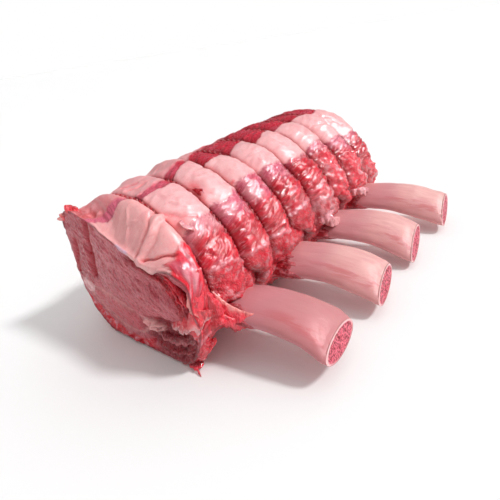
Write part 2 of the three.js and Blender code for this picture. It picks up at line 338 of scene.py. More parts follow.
def slanted(base, slant, x):
    return base - slant * (x - BONE_SIDE_X)


def loop_y(number, x, z):
    place = LOOP_PLACES[number]
    return slanted(place, LOOP_SLANTS[number], x) + slip(place, x, z)


def anchor(angle):
    return CENTRE_X + np.cos(angle) * loop_radius(angle), CENTRE_Z + np.sin(angle) * loop_radius(angle)


def from_centre(angle, radius, y):
    return np.stack(np.broadcast_arrays(
        CENTRE_X + np.cos(angle) * radius, y, CENTRE_Z + np.sin(angle) * radius), -1)


def bulge_at(share):
    """How far the meat has swollen, a share of the way from one loop to the next."""
    return 1 - abs(2 * share - 1) ** 2.6


NO_LOOP = 1e3  # the distance to a loop, in millimetres, where there is none


def skin_row(angle, segment, step):
    """Points round the roast, a share of the way along one segment, and their distance to a loop."""
    first = segment == 0
    last = segment == LAST_SEGMENT
    bulge = bulge_at(step)
    base = loop_radius(angle)
    height = swell(angle) * bulge
    if first:
        base = blend(face_radius(angle), base, smooth(0, 0.85, step))
        height = height * smooth(0, 0.5, step)
    if last:
        base = blend(base, end_radius(angle), smooth(0.35, 1, step))
        height = height * 0.6
    x, z = anchor(angle)
    start = slanted(FACE_Y, FACE_SLANT, x) if first else loop_y(segment - 1, x, z) + GROOVE_HALF_WIDTH
    stop = slanted(END_Y, END_SLANT, x) if last else loop_y(segment, x, z) - GROOVE_HALF_WIDTH
    y = blend(start, stop, step)
    points = from_centre(angle, base + growth(angle, y) + height + lump(angle, y) * bulge, y)
    points[:, 2] = np.maximum(points[:, 2], blend(FACE_LIFT, 0, step) if first else 0)
    before = y - start + (NO_LOOP if first else GROOVE_HALF_WIDTH)
    after = stop - y + (NO_LOOP if last else GROOVE_HALF_WIDTH)
    return points, np.minimum(before, after)


def groove_row(angle, number, offset):
    """Points on the floor of the groove that a loop lies in."""
    x, z = anchor(angle)
    y = loop_y(number, x, z) + offset
    points = from_centre(angle, loop_radius(angle) + growth(angle, y), y)
    points[:, 2] = np.maximum(points[:, 2], 0)
    return points, np.full(angle.shape, abs(offset))


def face_row(angle, reach):
    """A ring of the cut face, a share of the way out from its middle."""
    rim = from_centre(angle, face_radius(angle) * reach, 0)
    rim[:, 1] = slanted(FACE_Y, FACE_SLANT, rim[:, 0])
    rim[:, 2] = np.maximum(rim[:, 2], FACE_LIFT)
    return rim, np.full(angle.shape, NO_LOOP)


def end_row(angle, reach):
    """A ring of the far end, which is a little crowned."""
    rim = from_centre(angle, end_radius(angle) * reach, 0)
    rim[:, 1] = slanted(END_Y, END_SLANT, rim[:, 0]) + END_CROWN * (1 - reach ** 2)
    return rim, np.full(angle.shape, NO_LOOP)


# ---- lattices of the meat ----

END_CROWN = 4.5
GROOVE_ROWS = (-0.8, 0.0, 0.8)  # rows of points across a groove's floor
SPLIT_LOOP = 1  # the two lattices of the meat meet in this loop's groove
CAP_SHARES = (0.97, 0.6, 0.25, 0.0)  # the hidden end of a lattice steps in by these to its middle
FACE_RIM = (0.97, 0.982, 0.992)
END_RIM = (0.99, 0.975)
# Points round the roast, rows in a segment and rings on the cut end, for each lattice.
FRONT_COLUMNS = 470
FRONT_STEPS = 40
FACE_RINGS = 74
BACK_COLUMNS = 380
BACK_STEPS = 29
END_RINGS = 16


class Lattice:
    """Rows of points round the roast, each with its gap to a loop, its station and its zone."""

    def __init__(self, angle):
        self.angle = angle
        self.rows = []

    def add(self, row, station, on_face=0, on_end=0):
        marks = (np.full(len(self.angle), float(value)) for value in (station, on_face, on_end))
        self.rows.append((*row, *marks))

    def close(self):
        self.points, self.gap, self.station, self.on_face, self.on_end = (
            np.array(values) for values in zip(*self.rows))
        self.angle = np.broadcast_to(self.angle, self.gap.shape)
        self.cut = np.maximum(self.on_face, self.on_end)
        return self


def add_grooves(lattice, number, offsets):
    for offset in offsets:
        lattice.add(groove_row(lattice.angle, number, offset), number + 1)


def add_segments(lattice, segments, steps):
    shares = np.linspace(0, 1, steps + 1)
    shares = shares - 0.0225 * np.sin(4 * np.pi * shares)
    for segment in segments:
        for share in shares:
            lattice.add(skin_row(lattice.angle, segment, share), segment + share)
        if segment != segments[-1]:
            add_grooves(lattice, segment, GROOVE_ROWS)


def add_hidden_end(lattice, number, offset, shares):
    """The end of a lattice inside its neighbour."""
    points, gap = groove_row(lattice.angle, number, offset)
    for share in shares:
        lattice.add((blend(points.mean(axis=0), points, share), gap), number + 1)


def front_lattice():
    lattice = Lattice(directions(FRONT_COLUMNS))
    for reach in (*np.linspace(0, 0.955, FACE_RINGS), *FACE_RIM):
        lattice.add(face_row(lattice.angle, reach), 0, on_face=1)
    add_segments(lattice, (0, 1), FRONT_STEPS)
    add_grooves(lattice, SPLIT_LOOP, GROOVE_ROWS[:2])
    add_hidden_end(lattice, SPLIT_LOOP, GROOVE_ROWS[2], CAP_SHARES)
    return lattice.close()


def back_lattice():
    lattice = Lattice(directions(BACK_COLUMNS))
    add_hidden_end(lattice, SPLIT_LOOP, GROOVE_ROWS[0], CAP_SHARES[::-1])
    add_grooves(lattice, SPLIT_LOOP, GROOVE_ROWS[1:])
    add_segments(lattice, range(2, LAST_SEGMENT + 1), BACK_STEPS)
    for reach in (*END_RIM, *np.linspace(0.95, 0, END_RINGS)):
        lattice.add(end_row(lattice.angle, reach), LAST_SEGMENT + 1, on_end=1)
    return lattice.close()


def normals_of(points):
    """Outward normals of a lattice of points."""
    around = np.roll(points, -1, axis=1) - np.roll(points, 1, axis=1)
    along = np.gradient(points, axis=0)
    normals = np.cross(around, along)
    length = np.linalg.norm(normals, axis=-1, keepdims=True)
    normals = normals / np.maximum(length, 1e-9)
    outward = points - points.mean(axis=(0, 1))
    if (normals * outward).sum() < 0:
        normals = -normals
    return normals


# ---- relief and colour of the skin ----

ARC_PER_DEGREE = 0.76  # millimetres round the skin for one degree
SEGMENT_LENGTH = 24.0  # millimetres along the roast for one station
FIBRE_CLIMB = (64, 26, 20, 18, 16, 14, 12, 12, 12)  # each segment's fibres turn up by these degrees
FURROW_WIDTH = (3.0, 4.2, 4.2, 3.8, 3.2, 2.9, 2.9, 3.4, 3.4)  # and their bundles are this wide


def skin_degrees(lattice):
    """Degrees round the roast without a jump on the side that shows."""
    degrees = np.degrees(lattice.angle)
    return np.where(degrees < -100, degrees + 360, degrees)


def by_segment(values, lattice):
    return np.array(values)[np.clip(lattice.station.astype(int), 0, LAST_SEGMENT)]


def late_share(station):
    """0 on the front half of the roast and 1 on its crumbly last segments."""
    return smooth(5.7, 6.4, station)


def fibre_plane(lattice):
    """Millimetres across and along the fibres of the skin."""
    climb = np.radians(by_segment(FIBRE_CLIMB, lattice))
    arc = skin_degrees(lattice) * ARC_PER_DEGREE
    y = lattice.points[..., 1]
    return arc * np.cos(climb) - y * np.sin(climb), y * np.cos(climb) + arc * np.sin(climb)


def flowing(lattice, across, along):
    """Places for noise on the skin, with long waves along the fibres."""
    side, length = fibre_plane(lattice)
    return np.stack((side / across, length / along, lattice.station // 1 * 3.7), -1)


def furrows(lattice):
    """1 in the furrows between two bundles of fibres."""
    wander = 0.35 * noise(lattice.points / 6, 13)[..., None]
    return ridges(flowing(lattice, by_segment(FURROW_WIDTH, lattice), 20) + wander, 14)


def skin_tissue(lattice):
    """Shares of each tissue on the skin, with frayed borders."""
    points = lattice.points
    station = lattice.station
    degrees = skin_degrees(lattice)
    fray = 2.4 * noise(points / 9, 1) + 1.1 * noise(points / 2.6, 2)
    frayed = degrees + fray
    rough = frayed + 0.9 * noise(points / 1.3, 3)
    strip_low, strip_high, fat_low, veil_low, line_low = (
        np.interp(station, *table) for table in (STRIP_LOW, STRIP_HIGH, FAT_LOW, VEIL_LOW, LINE_LOW))
    tissue = dict(
        fat=band(rough, fat_low, strip_low, 0.9),
        strip=band(degrees + 0.6 * fray, strip_low, strip_high, 1.2),
        outer=band(frayed, strip_high, 205, 1.5),
        veil=smooth(veil_low - 5, veil_low + 5, frayed) * smooth(fat_low + 1, fat_low - 1, rough),
        lean=smooth(line_low - 2, line_low + 2, rough) * smooth(veil_low + 5, veil_low - 5, frayed),
        crumbs=band(rough, -50, line_low, 1.5))
    tissue["under"] = np.clip(1 - sum(tissue.values()), 0, 1)
    tissue["line"] = np.exp(-((rough - line_low) / 1.2) ** 2) * smooth(6.02, 5.98, station)
    return {name: share * (1 - lattice.cut) for name, share in tissue.items()}


# Folds, slits and creases of the skin: the line as (station, degrees), its height in millimetres,
# negative for a crease, its half width and how red it is.
SKIN_LINES = (
    (((1.0, 59), (0.6, 55), (0.35, 50), (0.08, 46)), 1.9, 1.7, 0.0),  # fold beside the lip
    (((0.95, 65), (0.6, 61), (0.35, 55), (0.05, 51)), -1.5, 0.9, 0.3),  # crease beside the fold
    (((0.75, 53), (0.4, 46), (0.1, 42)), -0.8, 0.8, 0.15),  # inner crease of the fold
    (((0.1, 43), (0.22, 37), (0.42, 31)), -2.2, 0.7, 0.8),  # slit in the lip
    (((0.62, 83), (0.42, 77), (0.26, 73)), 0.8, 0.7, 0.0),  # thin fold on the slab
    (((0.42, 77), (0.5, 70)), 0.6, 0.6, 0.0),  # its branch
    (((1.12, 112), (1.36, 107), (1.6, 104)), -1.6, 0.8, 0.7),  # slit by the strip
    (((1.2, 120), (1.5, 112)), -1.3, 0.8, 0.6),  # slit left of it
    (((1.06, 60), (1.2, 50), (1.5, 44)), -0.9, 0.9, 0.5),  # torn edge
    (((1.3, 63), (1.45, 53), (1.8, 50)), 0.7, 0.9, 0.0),  # fold above it
    (((8.1, 76), (8.25, 66), (8.3, 52)), -1.0, 0.7, 0.4),  # thin seam
    (((7.1, 66), (7.5, 60), (7.9, 56)), -0.8, 0.7, 0.3),  # seam on the last segment but one
)
# Pits and knobs: (station, degrees), height, radii along and round the skin, redness and paleness.
SKIN_SPOTS = (
    ((0.2, 27), 2.2, (5, 7), 0.0, 0),  # lip
    ((2.1, 66), -2.2, (2.6, 6.5), 1.0, 0),  # torn hole
    ((2.13, 63), 1.6, (1.0, 5.0), 0.3, 0),  # shreds in the hole
    ((2.1, 55), 1.3, (1.8, 2.2), 0.3, 0),  # knob by the hole
    ((3.1, 55), 1.5, (1.2, 1.2), 0.9, 0),  # nub under the fourth loop
    ((0.3, 64), -0.9, (6, 6), 0.0, 0),  # flat on the slab
    ((5.35, -1), 2.2, (8, 9), 0.0, 1.0),  # clump by the third bone
    ((5.6, 8), 1.5, (4, 4), 0.0, 0.8),  # clump over the third bone
    ((7.7, -19), 2.0, (8, 5), 0.0, 1.0),  # clump by the fourth bone
    ((8.5, -14), 1.6, (6, 5), 0.0, 0.9),  # clump past the fourth bone
    ((1.12, 47), -0.9, (3.5, 4.5), 0.45, 0),  # torn patch
)


def skin_features(lattice):
    """Height, redness and paleness of the folds, slits, pits and knobs."""
    along = lattice.station * SEGMENT_LENGTH + 0.7 * noise(lattice.points / 4, 91)
    around = skin_degrees(lattice) * ARC_PER_DEGREE + 0.7 * noise(lattice.points / 4, 92)
    scale = (SEGMENT_LENGTH, ARC_PER_DEGREE)
    marks = [(near_path(along, around, np.array(path) * scale, width), height, red, 0)
             for path, height, width, red in SKIN_LINES]
    marks += [(spot(along, around, *np.array(middle) * scale, *radii), height, red, pale)
              for middle, height, radii, red, pale in SKIN_SPOTS]
    uncut = 1 - lattice.cut
    height = sum(near * height for near, height, _, _ in marks) * uncut
    red = np.max([near * red for near, _, red, _ in marks], axis=0) * uncut
    pale = np.max([near * pale for near, _, _, pale in marks], axis=0) * uncut
    return height, red, pale


def banks(lattice):
    """The rims that stand up along both sides of a loop's groove."""
    station = lattice.station
    bank = blend(1.3, 2.5, towards_bones(lattice.angle)) * (1 - 0.5 * bulge_at(station % 1))
    raised = shoulder_of(lattice.angle) * band(station % 1, 0.45, 0.95, 0.2) * smooth(3.2, 2.8, station)
    bank = bank + blend(0.8, 2.0, smooth(0.9, 1.1, station)) * raised
    return bank * smooth(1.1, 2.9, lattice.gap) * blend(1, 0.55, smooth(5, 7.5, station))


def skin_relief(lattice, tissue):
    """How far each spot of the skin stands out from the plain bulges."""
    points = lattice.points
    station = lattice.station
    fat_like = tissue["fat"] + tissue["outer"]
    lean_like = tissue["lean"] + 0.55 * tissue["veil"] + 0.5 * tissue["strip"] + 0.7 * tissue["under"]
    flank = smooth(1.0, 0.97, station) * tissue["veil"]
    front = smooth(0.6, 0.1, station) * tissue["outer"]
    fibrous = 0.8 - 1.7 * furrows(lattice) - 0.6 * ridges(flowing(lattice, 2.0, 11), 15)
    crags = 1.7 * fractal(points / 7, 3, 16) + 0.9 * ridges(points / 3.6, 17)
    knobs = 2.2 * fractal(points / 8, 3, 21) + 0.9 * noise(points / 3.2, 24) - 0.6
    folds = np.clip(1 - 9 * np.abs(noise(points / 21, 18)), 0, 1)
    folds = folds * smooth(-0.2, 0.5, noise(points / 30, 19))
    pleats = ridges(points / (2.3, 26, 2.3), 20) * np.exp(-(lattice.gap / 5) ** 2)
    veins = ridges(flowing(lattice, 5, 9), 23) * smooth(0.9, 1.1, station)
    relief = (
        0.7 * noise(points / 17, 11) + 0.25 * noise(points / 6, 12)
        + fat_like * (0.55 - 0.5 * folds + 0.45 * veins)
        + lean_like * fibrous
        + tissue["crumbs"] * (crags + late_share(station) * knobs)
        + tissue["line"] * 0.7
        + flank * (0.9 * ridges(flowing(lattice, 1.8, 14), 25) + 0.4 * fractal(points / 4, 2, 26))
        + front * (2.4 * fractal(points / 6, 3, 22) - 1.0 - 1.1 * ridges(points / 6, 27))
        + 0.35 * pleats * (lean_like + 0.4 * fat_like)
        - 2.0 * band(skin_degrees(lattice), 96, 140, 8) * band(station, 0.2, 0.6, 0.2))
    return relief * smooth(1.0, 4.5, lattice.gap) + banks(lattice)


def tissue_shades(lattice, cloudy, mottle):
    """The colour of each tissue, wherever it would lie on the skin."""
    station = lattice.station
    fibres = 0.5 + 0.5 * fractal(flowing(lattice, 2.4, 16), 2, 43)
    late = late_share(station)
    flank = smooth(1.0, 0.97, station)
    creased = np.maximum(smooth(0.45, 0.3, mottle), ridges(lattice.points / 6, 27))
    silver = band(skin_degrees(lattice), 64, 84, 3) * smooth(0.07, 0.02, station)
    return dict(
        fat=layered(
            SLAB_FAT,
            (FAT, smooth(0.85, 1.15, station)),
            (RUDDY_FAT, 0.4 * smooth(0.6, 1.0, cloudy)),
            (RUDDY_FAT, 0.3 * smooth(0.6, 1.0, mottle)),
            (LILAC, 0.8 * silver)),
        outer=layered(
            RUDDY_FAT,
            (FAT, 0.55 * smooth(0.6, 1.2, station)),
            (MEMBRANE, 0.6 * smooth(0.4, 0.7, fibres)),
            (CRIMSON, 0.75 * smooth(0.56, 0.72, fibres) * smooth(2.8, 4, station)),
            (SEAM, 0.7 * creased * smooth(0.6, 0.1, station))),
        strip=layered(
            MAUVE,
            (CRIMSON, smooth(0.2, 3.1, station)),
            (LEAN_DEEP, 0.15 * smooth(0.5, 0.9, fibres)),
            (MAUVE, 0.35 * smooth(0.45, 0.1, cloudy))),
        veil=layered(
            MAUVE,
            (CRIMSON, 0.45 * smooth(0.45, 0.85, fibres)),
            (FAT, 0.5 * smooth(0.5, 0.2, cloudy)),
            (FAT, 0.45 * band(station, 1.05, 1.95, 0.1)),
            (CRIMSON, 0.5 * flank),
            (LEAN, flank * smooth(0.35, 0.6, fibres)),
            (FRAY_PALE, 0.65 * flank * smooth(0.46, 0.24, fibres))),
        lean=layered(
            LEAN,
            (LEAN_DEEP, 0.25 * smooth(0.5, 0.85, fibres)),
            (MAUVE, 0.5 * smooth(0.42, 0.15, fibres)),
            (LEAN_BRIGHT, 0.6 * smooth(0.5, 0.8, cloudy)),
            (LEAN_DEEP, 0.5 * furrows(lattice))),
        crumbs=layered(
            LEAN,
            (LEAN_BRIGHT, 0.35 + 0.65 * late),
            (FRAY_PALE, blend(0.75, 0.9, late) * smooth(0.58, 0.82, mottle)),
            (LEAN_DEEP, blend(0.4, 0.25, late) * smooth(0.42, 0.2, mottle))),
        under=layered(LEAN, (RUDDY_FAT, smooth(0.4, 0.6, cloudy))))


def skin_colour(lattice, tissue):
    cloudy = 0.5 + 0.5 * fractal(lattice.points / 10, 3, 41)
    mottle = 0.5 + 0.5 * fractal(lattice.points / 3.5, 3, 42)
    shades = tissue_shades(lattice, cloudy, mottle)
    total = np.maximum(sum(tissue[name] for name in shades), 1e-6)[..., None]
    colour = sum(shades[name] * tissue[name][..., None] for name in shades) / total
    # Painted shade: the lean darkens into each loop's groove, over a wider band on the slope just past a
    # loop, which faces away from the light, and fat in a groove takes a darker pink.
    behind = smooth(0.5, 0.3, lattice.station % 1)
    low = np.exp(-(lattice.gap / blend(2.6, 5.0, behind)) ** 2)
    pale = tissue["fat"] + tissue["outer"]
    _, red, clumps = skin_features(lattice)
    return layered(
        colour,
        (FRAY_PALE, 0.6 * tissue["line"]),
        (LEAN_DEEP, 0.95 * low * (1 - pale)),
        (SHADED_GROOVE_FAT, 0.6 * np.exp(-(lattice.gap / 2.4) ** 2) * pale),
        (PALE_CLUMP, clumps * smooth(0.25, 0.6, mottle)),
        (LEAN, 0.85 * red))


# ---- relief and colour of the cut face, by x and z in the plane of the cut ----

CAP_SEAM = ((-47, 73), (-50, 57), (-52, 40))
EDGE_SEAM = ((-64, 58), (-68, 47), (-70, 38))
OVAL_TOP = ((-63, 23), (-57, 30), (-42, 29), (-27, 25), (-15, 21))
OVAL_FOOT = ((-63, 23), (-52, 15), (-36, 9.5), (-22, 10), (-15, 15))
UNDER_LIP = ((-12, 58), (0, 53), (10, 50), (17, 45), (21, 38))
RIND = ((-8, 58), (4, 52), (12, 46), (19, 39), (21, 30), (18, 24))
CAP_SIDE = ((30, 40, 57, 73), (-57, -52, -50, -47))
FOOT_TOP = ((-72, -62, -50, -36, -22, -14), (24, 18, 11, 6, 6, 8))
GRAIN_TURN = math.radians(-46)  # the grain of the eye muscle falls towards the bones


def face_parts(points):
    """Shares of each part of the cut face."""
    x = points[..., 0] + 0.8 * noise(points / 5, 51)
    z = points[..., 2] + 0.8 * noise(points / 5, 52)
    oval = np.sqrt(-np.log(spot(x, z, -37, 20.5, 20.5, 6.6, -17) + 1e-9))
    parts = dict(
        cap=smooth(1, -1, x - np.interp(z, *CAP_SIDE)) * smooth(26, 32, z),
        cap_seam=near_path(x, z, CAP_SEAM, 2.0),
        edge_seam=near_path(x, z, EDGE_SEAM, 1.9),
        pocket=smooth(0.35, 0.6, spot(x, z, -63, 30, 5.0, 7.5, 80)),
        oval=smooth(1.15, 0.92, oval),
        oval_seam=np.maximum(near_path(x, z, OVAL_TOP, 1.1), near_path(x, z, OVAL_FOOT, 1.1)),
        nub=smooth(0.35, 0.6, spot(x, z, -11, 18, 7, 4, -20)),
        recess=smooth(0.25, 0.55, spot(x, z, 3, 13, 22, 12, -8)),
        rind=smooth(6.5, 4.5, path_distance(x, z, RIND)),
        foot=smooth(1, -1, z - np.interp(x, *FOOT_TOP)) * smooth(-8, -16, x))
    parts["flank"] = smooth(20, 23, x - 0.15 * (z - 30)) * (1 - parts["recess"])
    return parts


def along_grain(points):
    """Distances across and along the grain of the cut face."""
    x = points[..., 0]
    z = points[..., 2]
    return (z * math.cos(GRAIN_TURN) - x * math.sin(GRAIN_TURN),
            x * math.cos(GRAIN_TURN) + z * math.sin(GRAIN_TURN))


def grain_places(points, across, along):
    side, length = along_grain(points)
    return np.stack((length / along, points[..., 1] / 4, side / across), -1)


def flecks(points, full):
    """Small dark dashes along the grain."""
    return smooth(0.45, full, noise(grain_places(points, 1.6, 6), 61))


def face_relief(points, parts):
    """How far a spot of the cut face stands out towards the viewer."""
    x = points[..., 0]
    z = points[..., 2]
    crags = fractal(points / 5, 3, 66)
    layers = np.sin(path_distance(x, z, RIND) * 1.9 + 2 * noise(points / 9, 64))
    large = 2.4 * spot(x, z, -20, 40, 34, 20) - 6 * spot(x, z, 4, 17, 16, 9)
    large = large - 4 * spot(x, z + 0.1 * x, 6, 46, 22, 6)
    return (
        large + 0.5 * noise(points / 13, 63) + 0.5 * fractal(grain_places(points, 5, 11), 2, 69)
        + 0.32 * fractal(grain_places(points, 1.9, 5), 3, 62) - 0.7 * flecks(points, 0.8)
        + parts["rind"] * (0.7 * layers + 0.8 * fractal(points / 5, 2, 65))
        + 1.0 * parts["oval"] + 2.2 * parts["nub"] + 0.9 * parts["pocket"]
        - 2.6 * parts["cap_seam"] - 1.4 * parts["edge_seam"] - 0.6 * parts["oval_seam"]
        - 2.2 * near_path(x, z, UNDER_LIP, 2.8)
        + 1.5 * crags * (parts["foot"] + 0.6 * parts["flank"])
        + (1.8 * crags - 1.5 + 1.2 * ridges(points / 5, 67)) * parts["recess"]
        + 0.35 * fractal(points / (2.5, 2.5, 8), 2, 68) * parts["cap"])


def face_colour(points, parts):
    fibres = 0.5 + 0.5 * fractal(grain_places(points, 1.5, 8), 3, 71)
    cloudy = 0.5 + 0.5 * fractal(points / 9, 3, 72)
    mottle = 0.5 + 0.5 * fractal(points / 3, 3, 73)
    foot = paint(LEAN, FRAY_PALE, 0.9 * smooth(0.55, 0.75, mottle))
    rind = paint(SEAM, LEAN_BRIGHT, smooth(0.45, 0.7, mottle))
    flank = paint(LEAN_BRIGHT, FRAY_PALE, smooth(0.5, 0.8, mottle))
    return layered(
        EYE,
        (EYE_PALE, 0.5 * smooth(0.4, 0.8, fibres)),
        (SEAM, 0.2 * smooth(0.45, 0.15, fibres) + 0.3 * smooth(0.55, 0.85, cloudy)),
        (EYE_PALE, 0.5 * smooth(0.5, 0.25, cloudy)),
        (SEAM, 0.75 * flecks(points, 0.75)),
        (CAP, 0.7 * parts["cap"]),
        (SEAM, 0.4 * parts["cap"] * smooth(0.5, 0.25, mottle)),
        (OVAL, parts["oval"]),
        (foot, parts["foot"]),
        (rind, 0.85 * parts["rind"]),
        (LIP_SHADE, 0.92 * near_path(points[..., 0], points[..., 2], UNDER_LIP, 4.4)),
        (flank, parts["flank"]),
        (RECESS, 0.9 * parts["recess"]),
        (SEAM, 0.5 * parts["recess"] * smooth(0.5, 0.8, mottle)),
        (SLAB_FAT, 0.6 * parts["oval_seam"]),
        (FAT, parts["pocket"] * smooth(0.15, 0.3, mottle)),
        (SLAB_FAT, 0.9 * parts["nub"] * smooth(0.2, 0.45, mottle)),
        (SEAM, parts["cap_seam"] + 0.9 * parts["edge_seam"]))


# ---- pieces ----

SHIFT_LOOP = 3


def shift_to_frame():
    """The step from the drawing's place to the frame's, found from a loop that both hold."""
    centre = loop_path(SHIFT_LOOP, 360)
    drawn = (centre.min(axis=0) + centre.max(axis=0)) / 2
    low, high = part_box(f"tie_{SHIFT_LOOP + 1}")
    packed = (np.array(low) + np.array(high)) * 500
    step = packed - drawn
    step[2] = 0
    return step


def loop_path(number, count):
    """The middle line of one loop of twine."""
    angle = directions(count)
    x, z = anchor(angle)
    y = loop_y(number, x, z)
    return from_centre(angle, loop_radius(angle) + growth(angle, y) + TWINE_RADIUS + GAP, y)


SHIFT = shift_to_frame()


def shell_of(points, masks, colour=None):
    """A closed shell from a lattice whose first and last rows are drawn together to single points."""
    rows, columns = points.shape[:2]

    def per_vertex(values):
        inner = values[1:-1].reshape((-1,) + values.shape[2:])
        return np.concatenate((values[0].mean(axis=0)[None], inner, values[-1].mean(axis=0)[None]))

    vertices = per_vertex(points)
    start = 1 + np.arange(rows - 3)[:, None] * columns
    here = np.arange(columns)[None, :]
    there = (here + 1) % columns
    quads = np.stack((start + here, start + there, start + columns + there, start + columns + here), -1)
    quads = quads.reshape(-1, 4)
    last = 1 + (rows - 3) * columns
    first_fan = np.stack((np.zeros(columns, int), 1 + there[0], 1 + here[0]), -1)
    last_fan = np.stack((np.full(columns, len(vertices) - 1), last + here[0], last + there[0]), -1)
    corners = vertices[quads] - vertices.mean(axis=0)
    volume = np.einsum("ij,ij->", corners[:, 0], np.cross(corners[:, 1], corners[:, 2]))
    volume += np.einsum("ij,ij->", corners[:, 0], np.cross(corners[:, 2], corners[:, 3]))
    faces = quads.tolist() + first_fan.tolist() + last_fan.tolist()
    if volume < 0:
        faces = [face[::-1] for face in faces]
    values = {label: per_vertex(mask) for label, mask in masks.items()}
    if colour is not None:
        values["tissue"] = np.clip(per_vertex(colour), 0, 1)
    return vertices, faces, values


def store(mesh, label, values):
    """Keeps a value for each vertex as an attribute: a colour, a place or a number."""
    if label == "tissue":
        layer = mesh.color_attributes.new(label, "FLOAT_COLOR", "POINT")
        values = np.hstack((values, np.ones((len(values), 1))))
        field = "color"
    else:
        kind, field = ("FLOAT_VECTOR", "vector") if values.ndim == 2 else ("FLOAT", "value")
        layer = mesh.attributes.new(label, kind, "POINT")
    layer.data.foreach_set(field, values.astype(np.float32).ravel())


def mesh_of(name, shells):
    """One mesh from closed shells, with their values as attributes."""
    faces = []
    count = 0
    for vertices, corners, _ in shells:
        faces += [[corner + count for corner in face] for face in corners]
        count += len(vertices)
    mesh = bpy.data.meshes.new(name)
    vertices = np.vstack([shell[0] for shell in shells])
    mesh.from_pydata(((vertices + SHIFT) / 1000).tolist(), [], faces)
    mesh.polygons.foreach_set("use_smooth", np.ones(len(faces), bool))
    for label in shells[0][2]:
        store(mesh, label, np.concatenate([shell[2][label] for shell in shells]))
    mesh.update()
    return mesh


def place(mesh, materials, slot, *nodes):
    """Puts a mesh in the scene as a piece that rides on the roast."""
    piece = bpy.data.objects.new(mesh.name, mesh)
    bpy.context.scene.collection.objects.link(piece)
    if not mesh.materials:
        for material in materials:
            mesh.materials.append(material)
    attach(piece, "root")
    if nodes:
        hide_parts(*nodes)


def finish_cut(mesh):
    """Gives the faces of the cut the second material."""
    on_cut = np.zeros(len(mesh.vertices), np.float32)
    mesh.attributes["cut"].data.foreach_get("value", on_cut)
    firsts = np.zeros(len(mesh.polygons), int)
    mesh.polygons.foreach_get("loop_start", firsts)
    corners = np.zeros(len(mesh.loops), int)
    mesh.loops.foreach_get("vertex_index", corners)
    mesh.polygons.foreach_set("material_index", (on_cut[corners[firsts]] > 0.5).astype(int))


def reach_on_face(lattice):
    """The share of the way from the face's middle to its rim."""
    x = lattice.points[..., 0] - CENTRE_X
    z = lattice.points[..., 2] - CENTRE_Z
    return np.hypot(x, z) / face_radius(np.arctan2(z, x))


def lip_reach(lattice):
    """How far the fat's front edge stands out over the cut face."""
    degrees = np.degrees(lattice.angle)
    on_rim = smooth(0.9, 0.99, reach_on_face(lattice))
    edge = np.where(lattice.on_face > 0, on_rim, smooth(0.45, 0.05, lattice.station))
    overhang = 2.6 * band(degrees, 20, 47, 5) + 0.9 * band(degrees, 47, 112, 3)
    return edge * overhang * (1 + 0.35 * noise(lattice.points / 6, 93)) * (1 - lattice.on_end)


def meat_points(lattice, tissue, parts):
    """The lattice with its relief, and with the fat's lip over the cut face."""
    plain = lattice.points
    from_face = np.abs(plain[..., 1] - slanted(FACE_Y, FACE_SLANT, plain[..., 0]))
    relief = skin_relief(lattice, tissue) * (1 - lattice.cut) * blend(0.35, 1, smooth(1.6, 5, from_face))
    inside = smooth(0.995, 0.95, reach_on_face(lattice))
    relief = relief + (lattice.on_face * inside + 0.3 * lattice.on_end) * face_relief(plain, parts)
    relief = relief + skin_features(lattice)[0]
    points = plain + normals_of(plain) * relief[..., None]
    points[..., 1] -= lip_reach(lattice)
    points[..., 2] = np.maximum(points[..., 2], 0)
    return points


def meat_grain(lattice):
    """Places in metres across and along the fibres, on the skin and on the two cut ends."""
    side, length = fibre_plane(lattice)
    on_skin = np.stack((side, length, lattice.station // 1 * 40), -1)
    on_cut = np.stack((*along_grain(lattice.points), lattice.points[..., 1]), -1)
    return np.where(lattice.cut[..., None] > 0.5, on_cut, on_skin) / 1000


def meat_masks(lattice, tissue, parts):
    """What the material heeds at each spot: shares between 0 and 1, and the place in the grain."""
    cut = lattice.cut
    pale = tissue["fat"] + 0.8 * tissue["outer"] + cut * np.maximum(parts["pocket"], parts["nub"])
    seams = np.maximum(parts["cap_seam"], parts["edge_seam"])
    wet = (tissue["lean"] + tissue["crumbs"] + 0.7 * tissue["veil"] + 0.5 * tissue["strip"]
           + 0.5 * tissue["under"] + 0.45 * cut)
    crumbly = tissue["crumbs"] * (1 - 0.5 * late_share(lattice.station))
    stringy = (tissue["lean"] + 0.6 * tissue["veil"] + 0.12 * tissue["strip"] + 0.5 * tissue["under"]
               + 0.25 * tissue["crumbs"] + cut * (1 - 0.7 * parts["oval"]) * (1 - pale))
    shares = dict(
        pale=pale, wet=wet, cut=cut,
        grainy=crumbly + 0.5 * tissue["under"] + 0.3 * cut,
        stringy=np.clip(stringy, 0, 1) * (1 - cut * seams))
    masks = {name: np.clip(share, 0, 1) for name, share in shares.items()}
    return dict(masks, grain=meat_grain(lattice))


def meat_piece(name, lattice, materials):
    tissue = skin_tissue(lattice)
    parts = face_parts(lattice.points)
    colour = paint(skin_colour(lattice, tissue), face_colour(lattice.points, parts), lattice.cut)
    masks = meat_masks(lattice, tissue, parts)
    mesh = mesh_of(name, [shell_of(meat_points(lattice, tissue, parts), masks, colour)])
    place(mesh, materials, "raw_beef", "meat")
    finish_cut(mesh)


# ---- meat at the roots of the bones, and loose flaps ----

SLEEVE_SPAN = (0.2, 0.72)  # the shares along a bone between which a sleeve lies
SLEEVE_ROWS = 56
SLEEVE_REACH = 24  # how far out a sleeve runs on the far side, by x
WEB_REACH = (48, 41, 33, 34)  # and how far the dark meat runs on the near side of each bone


def capped(points):
    """Rows of points with both ends drawn together."""
    first, last = (points[:1] * 0 + points[end].mean(axis=0) for end in (0, -1))
    return np.concatenate((first, points, last))


def unit(vectors):
    return vectors / np.linalg.norm(vectors, axis=-1, keepdims=True)


